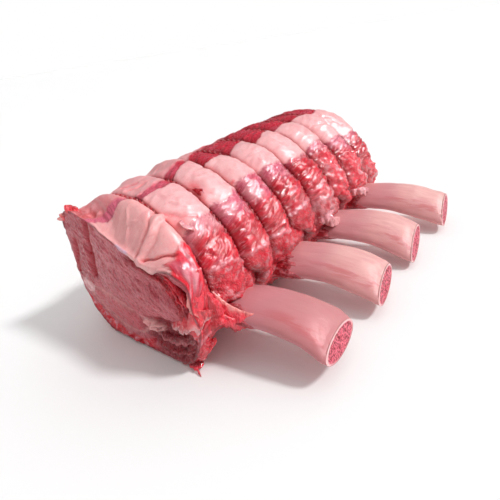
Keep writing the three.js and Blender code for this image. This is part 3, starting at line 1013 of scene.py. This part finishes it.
def scrap_masks(rows, order):
    """The values of a scrap's shell. Its fibres run along the second axis of the order."""
    flat = np.zeros(rows.shape[:2])
    return dict(pale=flat, wet=flat + 0.85, cut=flat, grainy=flat + 0.2, stringy=flat + 0.7,
                grain=rows[..., order] / 1000)


def root_sleeve(number):
    """Dark meat left along a bone where it leaves the roast, longest on its near and lower side."""
    shares = np.linspace(*SLEEVE_SPAN, SLEEVE_ROWS)
    points, across, up = bone_rows(number, shares, np.ones(len(shares)))
    strands = fractal(points * (0.11, 0.4, 0.4) + number * 9.7, 3, 101)
    below = smooth(0.5, -0.4, up)[None, :]
    near = smooth(0.0, 0.75, across)[None, :]
    web = (WEB_REACH[number] - SLEEVE_REACH) * near * (0.55 + 0.45 * below)
    reach = SLEEVE_REACH + web + 2 * below + 4 * strands
    margin = blend(2.2, 2.8, near) * (1 - 0.45 * below)
    margin = margin * smooth(reach + 1.5, reach - 9, points[..., 0]) - 0.9
    relief = (1.3 * strands + 0.5 * fractal(points / 2.4, 2, 102)) * (1 - 0.6 * below)
    outward = unit(points - points.mean(axis=1, keepdims=True))
    points = points + outward * (margin + relief * smooth(-0.9, 0.5, margin))[..., None]
    points[..., 2] = np.maximum(points[..., 2], 0.2)
    rows = capped(points)
    tone = fractal(rows * (0.15, 0.5, 0.5), 3, 103)
    thin = smooth(0.9, 0.0, np.concatenate((margin[:1], margin, margin[-1:])))
    colour = layered(
        SLEEVE_RED,
        (LEAN_DEEP, smooth(0.0, 0.5, tone)),
        (FRAY_PALE, 0.7 * smooth(-0.25, -0.6, tone)),
        (SLEEVE_THIN, 0.6 * thin))
    return shell_of(rows, scrap_masks(rows, (1, 0, 2)), colour)


# A flap: the line where it is attached, how far it runs out, its thickness, the colours of its
# root and its free edge, how far it curls, how torn its edge is, and where its colours change.
Flap = namedtuple("Flap", "path reach thickness colours curl ragged fade", defaults=(0.35, (0.6, 0.98)))
FLAP_STEPS = 26

FLAPS = (
    # red flap with a pale edge
    Flap(((27, -116, 57), (28, -118, 48), (28, -120, 40), (27, -121, 35)),
         (-6.0, -5.5, -1.5), 3.4, (LEAN_BRIGHT, PALE_EDGE), -2.2),
    # glossy flap on its right, its dark root painted shade in the gap between the two flaps
    Flap(((25, -118, 45), (26, -119, 34), (26, -120, 26), (24, -120, 18)),
         (7.0, 5.0, -1.0), 5.0, (SEAM, LEAN_BRIGHT), -2.5),
    # three bands under the lip, their dark roots painted shade under the lip
    Flap(((2, -119, 54), (11, -121, 52), (18, -122, 45), (20, -122, 36)),
         (2.6, -4.2, 1.6), 3.6, (SEAM, LEAN_BRIGHT), 1.0),
    Flap(((4, -119, 50), (11, -120, 46), (16, -121, 39), (17, -121, 31)),
         (2.4, -3.8, 1.4), 3.2, (SEAM, LEAN_BRIGHT), 0.8),
    Flap(((0, -118, 46), (7, -119, 41), (11, -120, 34), (12, -121, 28)),
         (2.2, -3.2, 1.2), 2.8, (SEAM, CORAL), 0.6),
    # pale frilled flap, and the fold behind it
    Flap(((13, -122, 31), (19, -124, 35), (25, -124, 39), (31, -119, 37)),
         (-2.0, -2.5, -11.5), 2.6, (CORAL, PALE_FLAP), -2.2, 0.7),
    Flap(((7, -121, 26), (13, -122, 30), (18, -121, 32)),
         (0.0, -3.5, -5.0), 2.6, (LEAN_BRIGHT, PALE_FLAP), -1.4, 0.5),
    # two folds in the recess
    Flap(((-14, -118, 15), (-2, -117, 12), (10, -118, 15), (20, -119, 18)),
         (1, -4.5, -2.5), 3.0, (RECESS, FOLD_PALE), 1.0),
    Flap(((-8, -119, 6), (4, -118, 6), (14, -119, 10), (22, -118, 13)),
         (1.5, -4.5, -1.5), 3.0, (RECESS, FOLD_PALE), -1.0),
    # dark flap at the lower corner, and the scrap below it with its tail
    Flap(((16, -120, 17), (22, -119, 17), (27, -116, 18)),
         (2.0, -3.0, -5.0), 3.4, (SEAM, LEAN_BRIGHT), 0.8, 0.6),
    Flap(((9, -121, 2.4), (14, -121, 2.8), (19, -120, 3.4)),
         (3.0, -4.5, -0.8), 3.4, (RECESS, LEAN_BRIGHT), 0.4, 0.6),
    Flap(((16, -124, 2.2), (20, -125, 1.8)),
         (4.0, -2.6, -0.6), 1.8, (LEAN_BRIGHT, CORAL), 0.8),
    # nubs and a tail at the upper corner
    Flap(((-67, -113, 71), (-63, -114, 74), (-58, -113, 75)),
         (0.0, -3.0, 3.2), 6.5, (CORAL, CORAL), -0.8, 0.7),
    Flap(((-70, -114, 68), (-67, -115, 72)),
         (-2.5, -2.5, 2.5), 4.6, (CORAL, PALE_EDGE), 0.6, 0.6),
    Flap(((-70, -114, 68), (-70, -115, 71)),
         (-5.0, -2.0, 0.0), 2.6, (PALE_EDGE, PALE_EDGE), 0.5),
    # flap over the first bone, and the web under it
    Flap(((23, -109, 41), (30, -108, 34.5), (37, -106, 30), (46, -102, 27)),
         (0.5, -3.5, -8.5), 3.0, (PALE_EDGE, LEAN_BRIGHT), 1.0, fade=(0.0, 0.3)),
    Flap(((24, -112, 36), (31, -111, 29), (40, -107, 24)),
         (1.0, -1.5, -7.5), 3.4, (LEAN_BRIGHT, SEAM), 1.2, 0.5),
    # curled scrap on the fat, and a shred in the torn hole
    Flap(((5, -102, 71), (9, -103, 69), (13, -100.5, 67)),
         (2.0, -1.5, 1.6), 2.8, (FRAY_PALE, PALE_FLAP), 1.2, 0.8),
    Flap(((-9, -74, 76), (-4, -75, 73.5), (-1, -75, 71.5)),
         (1.6, 2.4, 2.0), 1.6, (SEAM, FRAY_PALE), 0.8, 0.7),
    # pale clumps by the third and the fourth bone
    Flap(((23, 4, 33), (28, 8, 36), (30, 15, 33)),
         (4.0, -5.0, -7.0), 6.0, (FRAY_PALE, PALE_FLAP), 0.6, 0.8),
    Flap(((24, 12, 27), (29, 16, 28), (32, 22, 26)),
         (4.0, -5.0, -4.0), 5.0, (PALE_FLAP, PALE_FLAP), 0.6, 0.8),
    Flap(((23, 64, 30), (28, 71, 30), (31, 80, 27)),
         (4.0, -4.5, -3.0), 5.5, (FRAY_PALE, PALE_FLAP), 0.6, 0.8),
    # nub at the far end
    Flap(((18, 104, 30), (20, 107, 35), (19, 110, 41)),
         (5.5, 2.5, 1.0), 7.0, (LEAN_BRIGHT, CORAL), 0.5, 0.6),
)


def flap_shell(flap, seed):
    """A loose flap of meat, thick along its root and thin at its free edge."""
    knots = np.array(flap.path, float)
    reach = np.array(flap.reach, float)
    share = np.linspace(0, 1, FLAP_STEPS)
    lengths = np.r_[0, np.cumsum(np.linalg.norm(np.diff(knots, axis=0), axis=1))]
    travelled = share * lengths[-1]
    line = np.stack([np.interp(travelled, lengths, knots[:, axis]) for axis in range(3)], -1)
    facing = unit(np.cross(np.gradient(line, axis=0), reach))
    torn = 1 + flap.ragged * noise(np.stack((travelled / 3.2, share * 0, share * 0 + seed), -1), seed)
    width = (np.sin(np.pi * np.clip(share, 0.015, 0.985)) ** 0.45 * torn)[:, None]
    angle = np.linspace(0, 2 * np.pi, FLAP_STEPS, endpoint=False)
    out = (0.5 - 0.5 * np.cos(angle))[None, :]
    thick = np.sin(angle) * (1 - 0.55 * out) * flap.thickness / 2
    middle = line[:, None] + reach * (out * width)[..., None]
    bend = flap.curl * out ** 2 + 0.12 * np.linalg.norm(reach) * noise(middle / 4.5, seed + 1)
    points = middle + facing[:, None] * (thick * width ** 0.5 + bend)[..., None]
    points = points + 0.25 * np.stack([noise(points / 1.8, seed + 2 + axis) for axis in range(3)], -1)
    points[..., 2] = np.maximum(points[..., 2], 0.15)
    rows = capped(points)
    tone = fractal(rows / 3, 2, seed + 5)
    root_colour, edge_colour = flap.colours
    colour = layered(
        root_colour,
        (edge_colour, smooth(*flap.fade, out + 0.25 * tone)),
        (LEAN_DEEP, 0.4 * smooth(0.2, 0.6, tone)))
    return shell_of(rows, scrap_masks(rows, (0, 2, 1)), colour)


def trimmings(materials):
    """The meat left along the bones and the loose flaps, as one piece."""
    shells = [root_sleeve(number) for number in range(len(BONES))]
    shells += [flap_shell(flap, 200 + 11 * index) for index, flap in enumerate(FLAPS)]
    place(mesh_of("meat_flaps", shells), materials[:1], "raw_beef", "meat")


# ---- bones ----

BONE_ROWS = 110
BONE_COLUMNS = 64
SAW_LEAN = 2.4  # millimetres that the upper rim of a sawn tip stands back
# Painted shade: each bone's share of a darker colour, most on the first bone.
PAINTED_BONE_SHADE = (0.85, 0.1, 0.1, 0.05)  # how much darker each bone is
ROOT_RINGS = (0, 0.4, 0.7, 0.93)
SAWN_RINGS = (0.97, 0.92, 0.86, 0.8, 0.72, 0.62, 0.5, 0.36, 0.2, 0.0)


def spine_of(bone, y, shares):
    """Points along the middle of a bone."""
    root, crest, tip = (bone[name] for name in ("root_z", "crest_z", "tip_z"))
    knots = np.array((
        (BONE_ROOT_X, y, root + 2),
        (0, y, root + 0.5),
        (BONE_SIDE_X, y, blend(root, crest, 0.75)),
        (46, y + 0.2 * BONE_DRIFT, crest),
        (64, y + 0.6 * BONE_DRIFT, blend(crest, tip, 0.25)),
        (bone["tip_x"], y + BONE_DRIFT, tip)), float)
    padded = np.vstack((2 * knots[0] - knots[1], knots, 2 * knots[-1] - knots[-2]))
    place_along = np.clip(shares, 0, 1) * (len(knots) - 1)
    index = np.minimum(place_along.astype(int), len(knots) - 2)
    return hermite(*(padded[index + k] for k in range(4)), (place_along - index)[:, None])


def bone_rows(number, shares, fullness):
    """Rows of points round a bone: shares along it, each with its own fullness of the section."""
    bone = BONES[number]
    y = FIRST_BONE_Y + BONE_PITCH * number
    middle = spine_of(bone, y, shares)
    rise = blend(bone["root_rise"], bone["tip_rise"], smooth(0.3, 1, shares)) / BONE_WIDTH
    flare = 1 - 0.08 * np.sin(np.pi * smooth(0.25, 1, shares))
    angle = np.linspace(0, 2 * np.pi, BONE_COLUMNS, endpoint=False)
    across = np.cos(angle)
    up = np.sin(angle)
    half_width = BONE_WIDTH / 2 * flare[:, None]
    saw = bone["saw"] * across * half_width * smooth(0.75, 1, shares)[:, None] * fullness[:, None]
    return np.stack((
        middle[:, :1] + saw,
        middle[:, 1:2] - across * half_width * fullness[:, None],
        middle[:, 2:] + (up * BONE_THICKNESS / 2 - across * half_width * rise[:, None]) * fullness[:, None],
    ), -1), across, up


def bone_piece(number, material):
    roots = len(ROOT_RINGS)
    shares = np.r_[np.zeros(roots), np.linspace(0, 1, BONE_ROWS), np.ones(len(SAWN_RINGS))]
    fullness = np.r_[ROOT_RINGS, np.ones(BONE_ROWS), SAWN_RINGS]
    points, across, up = bone_rows(number, shares, fullness)
    on_saw = (np.arange(len(shares)) >= roots + BONE_ROWS).astype(float)
    along, reach, sawn = (np.outer(values, np.ones(BONE_COLUMNS)) for values in (shares, fullness, on_saw))
    side, over = (np.broadcast_to(values, along.shape) for values in (across, up))
    waves = 0.5 * noise(points / 14 + number * 7, 81) + 0.22 * noise(points / (9, 3.5, 3.5), 82)
    lip = 0.5 * smooth(0.965, 0.995, along) * smooth(0.9, 1, reach)
    pits = 0.55 * smooth(0.1, 0.5, noise(points / 1.1, 83)) * sawn * smooth(0.9, 0.8, reach)
    points = points + normals_of(points) * (waves * (1 - sawn) - pits - lip)[..., None]
    points[..., 0] -= SAW_LEAN * (0.5 + 0.5 * over * reach) * smooth(0.9, 1, along)
    if number == 0:
        points[..., 2] = np.maximum(points[..., 2], 0.1)
    # The last value is each bone's share of painted shade.
    masks = dict(along=along, sawn=sawn, reach=reach, side=side, over=over,
                 painted_shade=np.full(along.shape, PAINTED_BONE_SHADE[number]))
    place(mesh_of(f"rib_{number + 1}_bone", [shell_of(points, masks)]), [material], "bone",
          f"rib_{number + 1}")


# ---- shader parts ----

SURFACE_IOR = 1.4


def feed(tree, socket, value):
    """Sets a socket to a number or a colour, or links another socket to it."""
    if isinstance(value, (int, float)):
        socket.default_value = value
    elif isinstance(value, np.ndarray):
        socket.default_value = (*value, 1)
    else:
        tree.links.new(value, socket)


def attribute(tree, name, output):
    node = tree.nodes.new("ShaderNodeAttribute")
    node.attribute_name = name
    return node.outputs[output]


def math_node(tree, operation, *values):
    node = tree.nodes.new("ShaderNodeMath")
    node.operation = operation
    for socket, value in zip(node.inputs, values):
        feed(tree, socket, value)
    return node.outputs[0]


def product(tree, first, *others):
    for other in others:
        first = math_node(tree, "MULTIPLY", first, other)
    return first


def mix_colour(tree, share, first, second):
    node = tree.nodes.new("ShaderNodeMix")
    node.data_type = "RGBA"
    for index, value in ((0, share), (6, first), (7, second)):
        feed(tree, node.inputs[index], value)
    return node.outputs[2]


def mix_layers(tree, colour, *layers):
    """Mixes colours over one, in turn. Each layer is its share and its colour."""
    for share, over in layers:
        colour = mix_colour(tree, share, colour, over)
    return colour


def ranged(tree, value, low, high, new_low=0.0, new_high=1.0):
    """A value's soft way from one number to another as it goes from low to high."""
    node = tree.nodes.new("ShaderNodeMapRange")
    node.interpolation_type = "SMOOTHSTEP"
    for socket, number in zip(node.inputs, (value, low, high, new_low, new_high)):
        feed(tree, socket, number)
    return node.outputs[0]


def bump(tree, height, strength, distance):
    node = tree.nodes.new("ShaderNodeBump")
    for label, value in (("Strength", strength), ("Distance", distance), ("Height", height)):
        feed(tree, node.inputs[label], value)
    return node.outputs["Normal"]


def fibre_group():
    """Muscle fibres: thin streaks along the second axis of the places, and specks as long as wide."""
    tree = bpy.data.node_groups.new("muscle_fibre", "ShaderNodeTree")
    for label, kind in (("Place", "NodeSocketVector"), ("Scale", "NodeSocketFloat"),
                        ("Stretch", "NodeSocketVector")):
        tree.interface.new_socket(label, in_out="INPUT", socket_type=kind)
    for label in ("Streaks", "Specks"):
        tree.interface.new_socket(label, in_out="OUTPUT", socket_type="NodeSocketFloat")
    start = tree.nodes.new("NodeGroupInput")
    stop = tree.nodes.new("NodeGroupOutput")
    stretch = tree.nodes.new("ShaderNodeVectorMath")
    stretch.operation = "MULTIPLY"
    feed(tree, stretch.inputs[0], start.outputs["Place"])
    feed(tree, stretch.inputs[1], start.outputs["Stretch"])
    for label, place_on, detail in (("Streaks", stretch.outputs[0], 3),
                                    ("Specks", start.outputs["Place"], 2)):
        pattern = tree.nodes.new("ShaderNodeTexNoise")
        for socket, value in (("Detail", detail), ("Distortion", 0.3), ("Vector", place_on),
                              ("Scale", start.outputs["Scale"])):
            feed(tree, pattern.inputs[socket], value)
        feed(tree, stop.inputs[label], pattern.outputs["Fac"])
    return tree


def use_fibres(tree, group, place_on, scale, stretch):
    """The streaks and the specks of the fibre group at one scale."""
    node = tree.nodes.new("ShaderNodeGroup")
    node.node_tree = group
    feed(tree, node.inputs["Place"], place_on)
    node.inputs["Scale"].default_value = scale
    node.inputs["Stretch"].default_value = stretch
    return node.outputs["Streaks"], node.outputs["Specks"]


def new_material(name, settings):
    """A material whose shader's sockets are set to plain numbers."""
    material = bpy.data.materials.new(name)
    material.use_nodes = True
    shader = material.node_tree.nodes["Principled BSDF"]
    shader.inputs["IOR"].default_value = SURFACE_IOR
    for label, value in settings.items():
        shader.inputs[label].default_value = value
    return material, material.node_tree, shader


def meat_material(fibres, name, length, contrast):
    """Raw meat, fat and silverskin. Its fibres get longer as length falls and show by contrast."""
    material, tree, shader = new_material(name, {
        "Subsurface Weight": 0.1, "Subsurface Radius": (1.0, 0.35, 0.28), "Subsurface Scale": 0.0014,
        "Coat Roughness": 0.06, "Coat IOR": 1.45, "Specular IOR Level": 0.8})
    pale, wet, grainy, stringy = (
        attribute(tree, label, "Fac") for label in ("pale", "wet", "grainy", "stringy"))
    grain = attribute(tree, "grain", "Vector")
    (_, cloud_specks), (cords, cord_specks), (threads, thread_specks) = (
        use_fibres(tree, fibres, grain, scale, (1, length, 1)) for scale in (170.0, 620.0, 1600.0))
    layers = (
        (cords, 0.47, 0.3, 0.6 * contrast, stringy, srgb(136, 4, 20)),
        (threads, 0.54, 0.7, 0.5 * contrast, stringy, srgb(252, 142, 158)),
        (thread_specks, 0.57, 0.7, 0.45, grainy, srgb(250, 176, 186)),
        (cord_specks, 0.46, 0.34, 0.3, grainy, srgb(160, 8, 26)),
        (cloud_specks, 0.48, 0.68, 0.4, pale, srgb(242, 152, 158)),
        (cord_specks, 0.54, 0.7, 0.3, pale, srgb(234, 128, 134)),
        (thread_specks, 0.56, 0.72, 0.4, pale, srgb(255, 226, 224)))
    colour = mix_layers(tree, attribute(tree, "tissue", "Color"), *(
        (product(tree, ranged(tree, pattern, low, high, 0, share), where), over)
        for pattern, low, high, share, where, over in layers))
    feed(tree, shader.inputs["Base Color"], colour)
    rough = tree.nodes.new("ShaderNodeMix")
    feed(tree, rough.inputs[0], wet)
    feed(tree, rough.inputs[2], ranged(tree, threads, 0.35, 0.7, 0.34, 0.55))
    feed(tree, rough.inputs[3], ranged(tree, cord_specks, 0.35, 0.65, 0.1, 0.26))
    feed(tree, shader.inputs["Roughness"], rough.outputs[0])
    shine = math_node(tree, "ADD", product(tree, wet, 0.7), product(tree, pale, 0.25))
    feed(tree, shader.inputs["Coat Weight"], shine)
    fine = product(tree, threads, math_node(tree, "ADD", product(tree, stringy, 0.35), 0.06))
    height = math_node(tree, "ADD", product(tree, cords, stringy), fine)
    height = math_node(tree, "ADD", height, product(tree, thread_specks, grainy))
    feed(tree, shader.inputs["Normal"], bump(tree, height, 0.9, 0.0018))
    return material


def bone_material(fibres):
    """Scraped bone with red streaks, darker at the root, with painted shade below, on its near side and
    over the first bone, and red marrow in the sawn end.
    """
    material, tree, shader = new_material("scraped_bone", {
        "Subsurface Weight": 0.18, "Subsurface Radius": (1.0, 0.5, 0.4), "Subsurface Scale": 0.0018})
    along, side, over, sawn, reach, painted_shade = (
        attribute(tree, label, "Fac") for label in ("along", "side", "over", "sawn", "reach", "painted_shade"))
    place_on = tree.nodes.new("ShaderNodeTexCoord").outputs["Object"]
    streaks, patches = use_fibres(tree, fibres, place_on, 300.0, (0.12, 1, 1))
    grain, pores = use_fibres(tree, fibres, place_on, 900.0, (0.2, 1, 1))
    bloody = product(tree, ranged(tree, side, 0.35, 0.6), ranged(tree, side, 0.92, 0.7),
                     ranged(tree, streaks, 0.48, 0.62), 0.35)
    far_edge = product(tree, ranged(tree, side, -0.8, -0.97), ranged(tree, patches, 0.35, 0.6), 0.6)
    sawn_end = mix_layers(
        tree, srgb(232, 108, 128),
        (ranged(tree, pores, 0.42, 0.62), srgb(140, 14, 34)),
        (ranged(tree, reach, 0.84, 0.93), srgb(246, 196, 196)))
    # Painted shade: each bone is darkened by its own share, and so are its near side and its underside.
    colour = mix_layers(
        tree, srgb(240, 190, 184),
        (ranged(tree, streaks, 0.35, 0.7), srgb(230, 170, 168)),
        (painted_shade, srgb(196, 124, 128)),
        (ranged(tree, side, -0.2, 0.75, 0, 0.5), srgb(206, 126, 130)),
        (ranged(tree, grain, 0.55, 0.75, 0, 0.18), srgb(214, 130, 132)),
        (bloody, srgb(196, 66, 78)),
        (far_edge, srgb(206, 96, 106)),
        (ranged(tree, along, 0.75, 0.58, 0, 0.6), srgb(204, 134, 142)),
        (ranged(tree, over, -0.1, -0.8, 0, 0.35), srgb(206, 120, 124)),
        (sawn, sawn_end))
    feed(tree, shader.inputs["Base Color"], colour)
    feed(tree, shader.inputs["Roughness"], ranged(tree, grain, 0.3, 0.7, 0.3, 0.5))
    height = math_node(tree, "ADD", streaks, product(tree, pores, 0.4))
    feed(tree, shader.inputs["Normal"], bump(tree, height, 0.35, 0.0006))
    return material


def twine_material():
    material, tree, shader = new_material("red_and_white_twine", {
        "Subsurface Weight": 0.1, "Subsurface Radius": (1.0, 0.6, 0.5), "Subsurface Scale": 0.0005,
        "Roughness": 0.75})
    fuzz = tree.nodes.new("ShaderNodeTexNoise")
    fuzz.inputs["Scale"].default_value = 2600
    feed(tree, fuzz.inputs["Vector"], tree.nodes.new("ShaderNodeTexCoord").outputs["Object"])
    colour = mix_layers(
        tree, srgb(220, 140, 142),
        (attribute(tree, "ply", "Fac"), srgb(178, 16, 34)),
        (ranged(tree, fuzz.outputs["Fac"], 0.4, 0.65, 0.2, 0.75), srgb(186, 58, 70)))
    feed(tree, shader.inputs["Base Color"], colour)
    feed(tree, shader.inputs["Normal"], bump(tree, fuzz.outputs["Fac"], 0.6, 0.0002))
    return material


# ---- twine, laid by Geometry Nodes ----

def ply_mesh(tree, start, curve, ply):
    """One ply, swept beside the middle line. The line's tilt winds it round its neighbour."""
    nodes = tree.nodes
    circle = nodes.new("GeometryNodeCurvePrimitiveCircle")
    circle.inputs["Resolution"].default_value = 8
    feed(tree, circle.inputs["Radius"], start.outputs["Ply Radius"])
    offset = nodes.new("ShaderNodeCombineXYZ")
    side = -0.9 if ply else 0.9
    feed(tree, offset.inputs[0], product(tree, start.outputs["Ply Radius"], side))
    moved = nodes.new("GeometryNodeTransform")
    feed(tree, moved.inputs["Geometry"], circle.outputs[0])
    feed(tree, moved.inputs["Translation"], offset.outputs[0])
    sweep = nodes.new("GeometryNodeCurveToMesh")
    feed(tree, sweep.inputs["Curve"], curve)
    feed(tree, sweep.inputs["Profile Curve"], moved.outputs[0])
    mark = nodes.new("GeometryNodeStoreNamedAttribute")
    mark.data_type = "FLOAT"
    mark.domain = "POINT"
    mark.inputs["Name"].default_value = "ply"
    mark.inputs["Value"].default_value = float(ply)
    feed(tree, mark.inputs["Geometry"], sweep.outputs[0])
    return mark.outputs[0]


def twine_tree():
    """Twists two plies round the middle line of a loop."""
    tree = bpy.data.node_groups.new("two_ply_twine", "GeometryNodeTree")
    for label, kind in (("Path", "NodeSocketGeometry"), ("Ply Radius", "NodeSocketFloat"),
                        ("Lay", "NodeSocketFloat"), ("Finish", "NodeSocketMaterial")):
        tree.interface.new_socket(label, in_out="INPUT", socket_type=kind)
    tree.interface.new_socket("Twine", in_out="OUTPUT", socket_type="NodeSocketGeometry")
    nodes = tree.nodes
    start = nodes.new("NodeGroupInput")
    stop = nodes.new("NodeGroupOutput")
    length = nodes.new("GeometryNodeCurveLength")
    feed(tree, length.inputs[0], start.outputs["Path"])
    turns = math_node(tree, "ROUND", math_node(tree, "DIVIDE", length.outputs[0], start.outputs["Lay"]))
    share = nodes.new("GeometryNodeSplineParameter")
    twist = nodes.new("GeometryNodeSetCurveTilt")
    feed(tree, twist.inputs["Curve"], start.outputs["Path"])
    feed(tree, twist.inputs["Tilt"], product(tree, turns, 2 * math.pi, share.outputs["Factor"]))
    join = nodes.new("GeometryNodeJoinGeometry")
    for ply in (0, 1):
        feed(tree, join.inputs[0], ply_mesh(tree, start, twist.outputs[0], ply))
    real = nodes.new("GeometryNodeRealizeInstances")
    finish = nodes.new("GeometryNodeSetMaterial")
    feed(tree, real.inputs[0], join.outputs[0])
    feed(tree, finish.inputs["Geometry"], real.outputs[0])
    feed(tree, finish.inputs["Material"], start.outputs["Finish"])
    feed(tree, stop.inputs[0], finish.outputs[0])
    return tree


def set_input(modifier, label, value):
    for item in modifier.node_group.interface.items_tree:
        if item.item_type == "SOCKET" and item.in_out == "INPUT" and item.name == label:
            modifier[item.identifier] = value


def twine_piece(number, tree, material):
    points = (loop_path(number, 300) + SHIFT) / 1000
    curve = bpy.data.curves.new("loop_line", "CURVE")
    curve.dimensions = "3D"
    spline = curve.splines.new("POLY")
    spline.points.add(len(points) - 1)
    spline.points.foreach_set("co", np.hstack((points, np.ones((len(points), 1)))).ravel())
    spline.use_cyclic_u = True
    line = bpy.data.objects.new("loop_line", curve)
    bpy.context.scene.collection.objects.link(line)
    modifier = line.modifiers.new("twist", "NODES")
    modifier.node_group = tree
    set_input(modifier, "Ply Radius", PLY_RADIUS / 1000)
    set_input(modifier, "Lay", TWINE_LAY / 1000)
    set_input(modifier, "Finish", material)
    evaluated = line.evaluated_get(bpy.context.evaluated_depsgraph_get())
    mesh = bpy.data.meshes.new_from_object(evaluated)
    mesh.name = f"tie_{number + 1}_twine"
    bpy.data.objects.remove(line)
    mesh.polygons.foreach_set("use_smooth", np.ones(len(mesh.polygons), bool))
    place(mesh, [material], "twine", f"tie_{number + 1}")


# ---- floor, light and camera ----

CAMERA_PLACE = (0.1460, -0.2436, 0.1451)
CAMERA_AZIMUTH = 37.4
CAMERA_ELEVATION = 25.4
CAMERA_ROLL = -8.7
CAMERA_LENS = 31.7

KEY_FROM = (0.62, 0.25, 0.75)
KEY_STRENGTH = 1.75
KEY_SPREAD = 9
BRIGHT_SKY = (0.2, 0.7, 0.68)
SKY_LEVEL = 0.5
SKY_SLOPE = 0.4
WINDOW_FROM = (0.40, 0.50, 0.77)
WINDOW_LIGHT = 16.0
ROOM_LIGHT = 0.12

WINDOW_EDGE = (0.962, 0.985)  # how closely a reflection has to face the window
WHITE = (1, 1, 1, 1)


def studio():
    """A pale floor, a soft key light and the studio's surroundings."""
    half = 30.0
    corners = ((-half, -half, 0), (half, -half, 0), (half, half, 0), (-half, half, 0))
    mesh = bpy.data.meshes.new("floor")
    mesh.from_pydata(corners, [], ((0, 1, 2, 3),))
    floor = bpy.data.objects.new("floor", mesh)
    bpy.context.scene.collection.objects.link(floor)
    material, _, _ = new_material("pale_floor", {"Base Color": (0.95, 0.95, 0.95, 1), "Roughness": 0.8})
    mesh.materials.append(material)
    bpy.context.scene.world = studio_world()
    key = bpy.data.lights.new("key", "SUN")
    key.energy = KEY_STRENGTH
    key.angle = math.radians(KEY_SPREAD)
    lamp = bpy.data.objects.new("key", key)
    lamp.rotation_euler = Vector(KEY_FROM).to_track_quat("Z", "Y").to_euler()
    bpy.context.scene.collection.objects.link(lamp)


def facing(tree, direction, way):
    """How closely a direction agrees with a given way."""
    node = tree.nodes.new("ShaderNodeVectorMath")
    node.operation = "DOT_PRODUCT"
    node.inputs[1].default_value = way
    feed(tree, node.inputs[0], direction)
    return node.outputs["Value"]


def white_light(tree, node, strength):
    node.inputs["Color"].default_value = WHITE
    feed(tree, node.inputs["Strength"], strength)
    return node.outputs[0]


def either(tree, share, first, second):
    node = tree.nodes.new("ShaderNodeMixShader")
    for socket, value in zip(node.inputs, (share, first, second)):
        feed(tree, socket, value)
    return node.outputs[0]


def studio_world():
    """Soft light that is brighter from above and behind, with one bright window in the reflections."""
    world = bpy.data.worlds.new("studio")
    world.use_nodes = True
    tree = world.node_tree
    direction = tree.nodes.new("ShaderNodeTexCoord").outputs["Generated"]
    level = math_node(tree, "ADD", product(tree, facing(tree, direction, BRIGHT_SKY), SKY_SLOPE), SKY_LEVEL)
    window = ranged(tree, facing(tree, direction, WINDOW_FROM), *WINDOW_EDGE, ROOM_LIGHT, WINDOW_LIGHT)
    sky = white_light(tree, tree.nodes["Background"], level)
    lamp, backdrop = (white_light(tree, tree.nodes.new("ShaderNodeBackground"), strength)
                      for strength in (window, 1.0))
    ray = tree.nodes.new("ShaderNodeLightPath")
    lit = either(tree, ray.outputs["Is Glossy Ray"], sky, lamp)
    seen = either(tree, ray.outputs["Is Camera Ray"], lit, backdrop)
    feed(tree, tree.nodes["World Output"].inputs["Surface"], seen)
    return world


def camera():
    data = bpy.data.cameras.new("camera")
    data.lens = CAMERA_LENS
    data.clip_start = 0.01
    eye = bpy.data.objects.new("camera", data)
    turn = (Matrix.Rotation(math.radians(CAMERA_AZIMUTH), 4, "Z")
            @ Matrix.Rotation(math.radians(90 - CAMERA_ELEVATION), 4, "X")
            @ Matrix.Rotation(math.radians(CAMERA_ROLL), 4, "Z"))
    eye.matrix_world = Matrix.Translation(CAMERA_PLACE) @ turn
    bpy.context.scene.collection.objects.link(eye)
    bpy.context.scene.camera = eye


def build():
    camera()
    studio()
    bpy.context.scene.view_settings.view_transform = "Standard"
    fibres = fibre_group()
    beef = [meat_material(fibres, "raw_beef_skin", 0.15, 1.0),
            meat_material(fibres, "raw_beef_cut", 0.34, 0.6)]
    bone = bone_material(fibres)
    twine = twine_material()
    meat_piece("meat_front", front_lattice(), beef)
    meat_piece("meat_back", back_lattice(), beef)
    trimmings(beef)
    for number in range(len(BONES)):
        bone_piece(number, bone)
    tree = twine_tree()
    for number in range(LOOP_COUNT):
        twine_piece(number, tree, twine)


build()
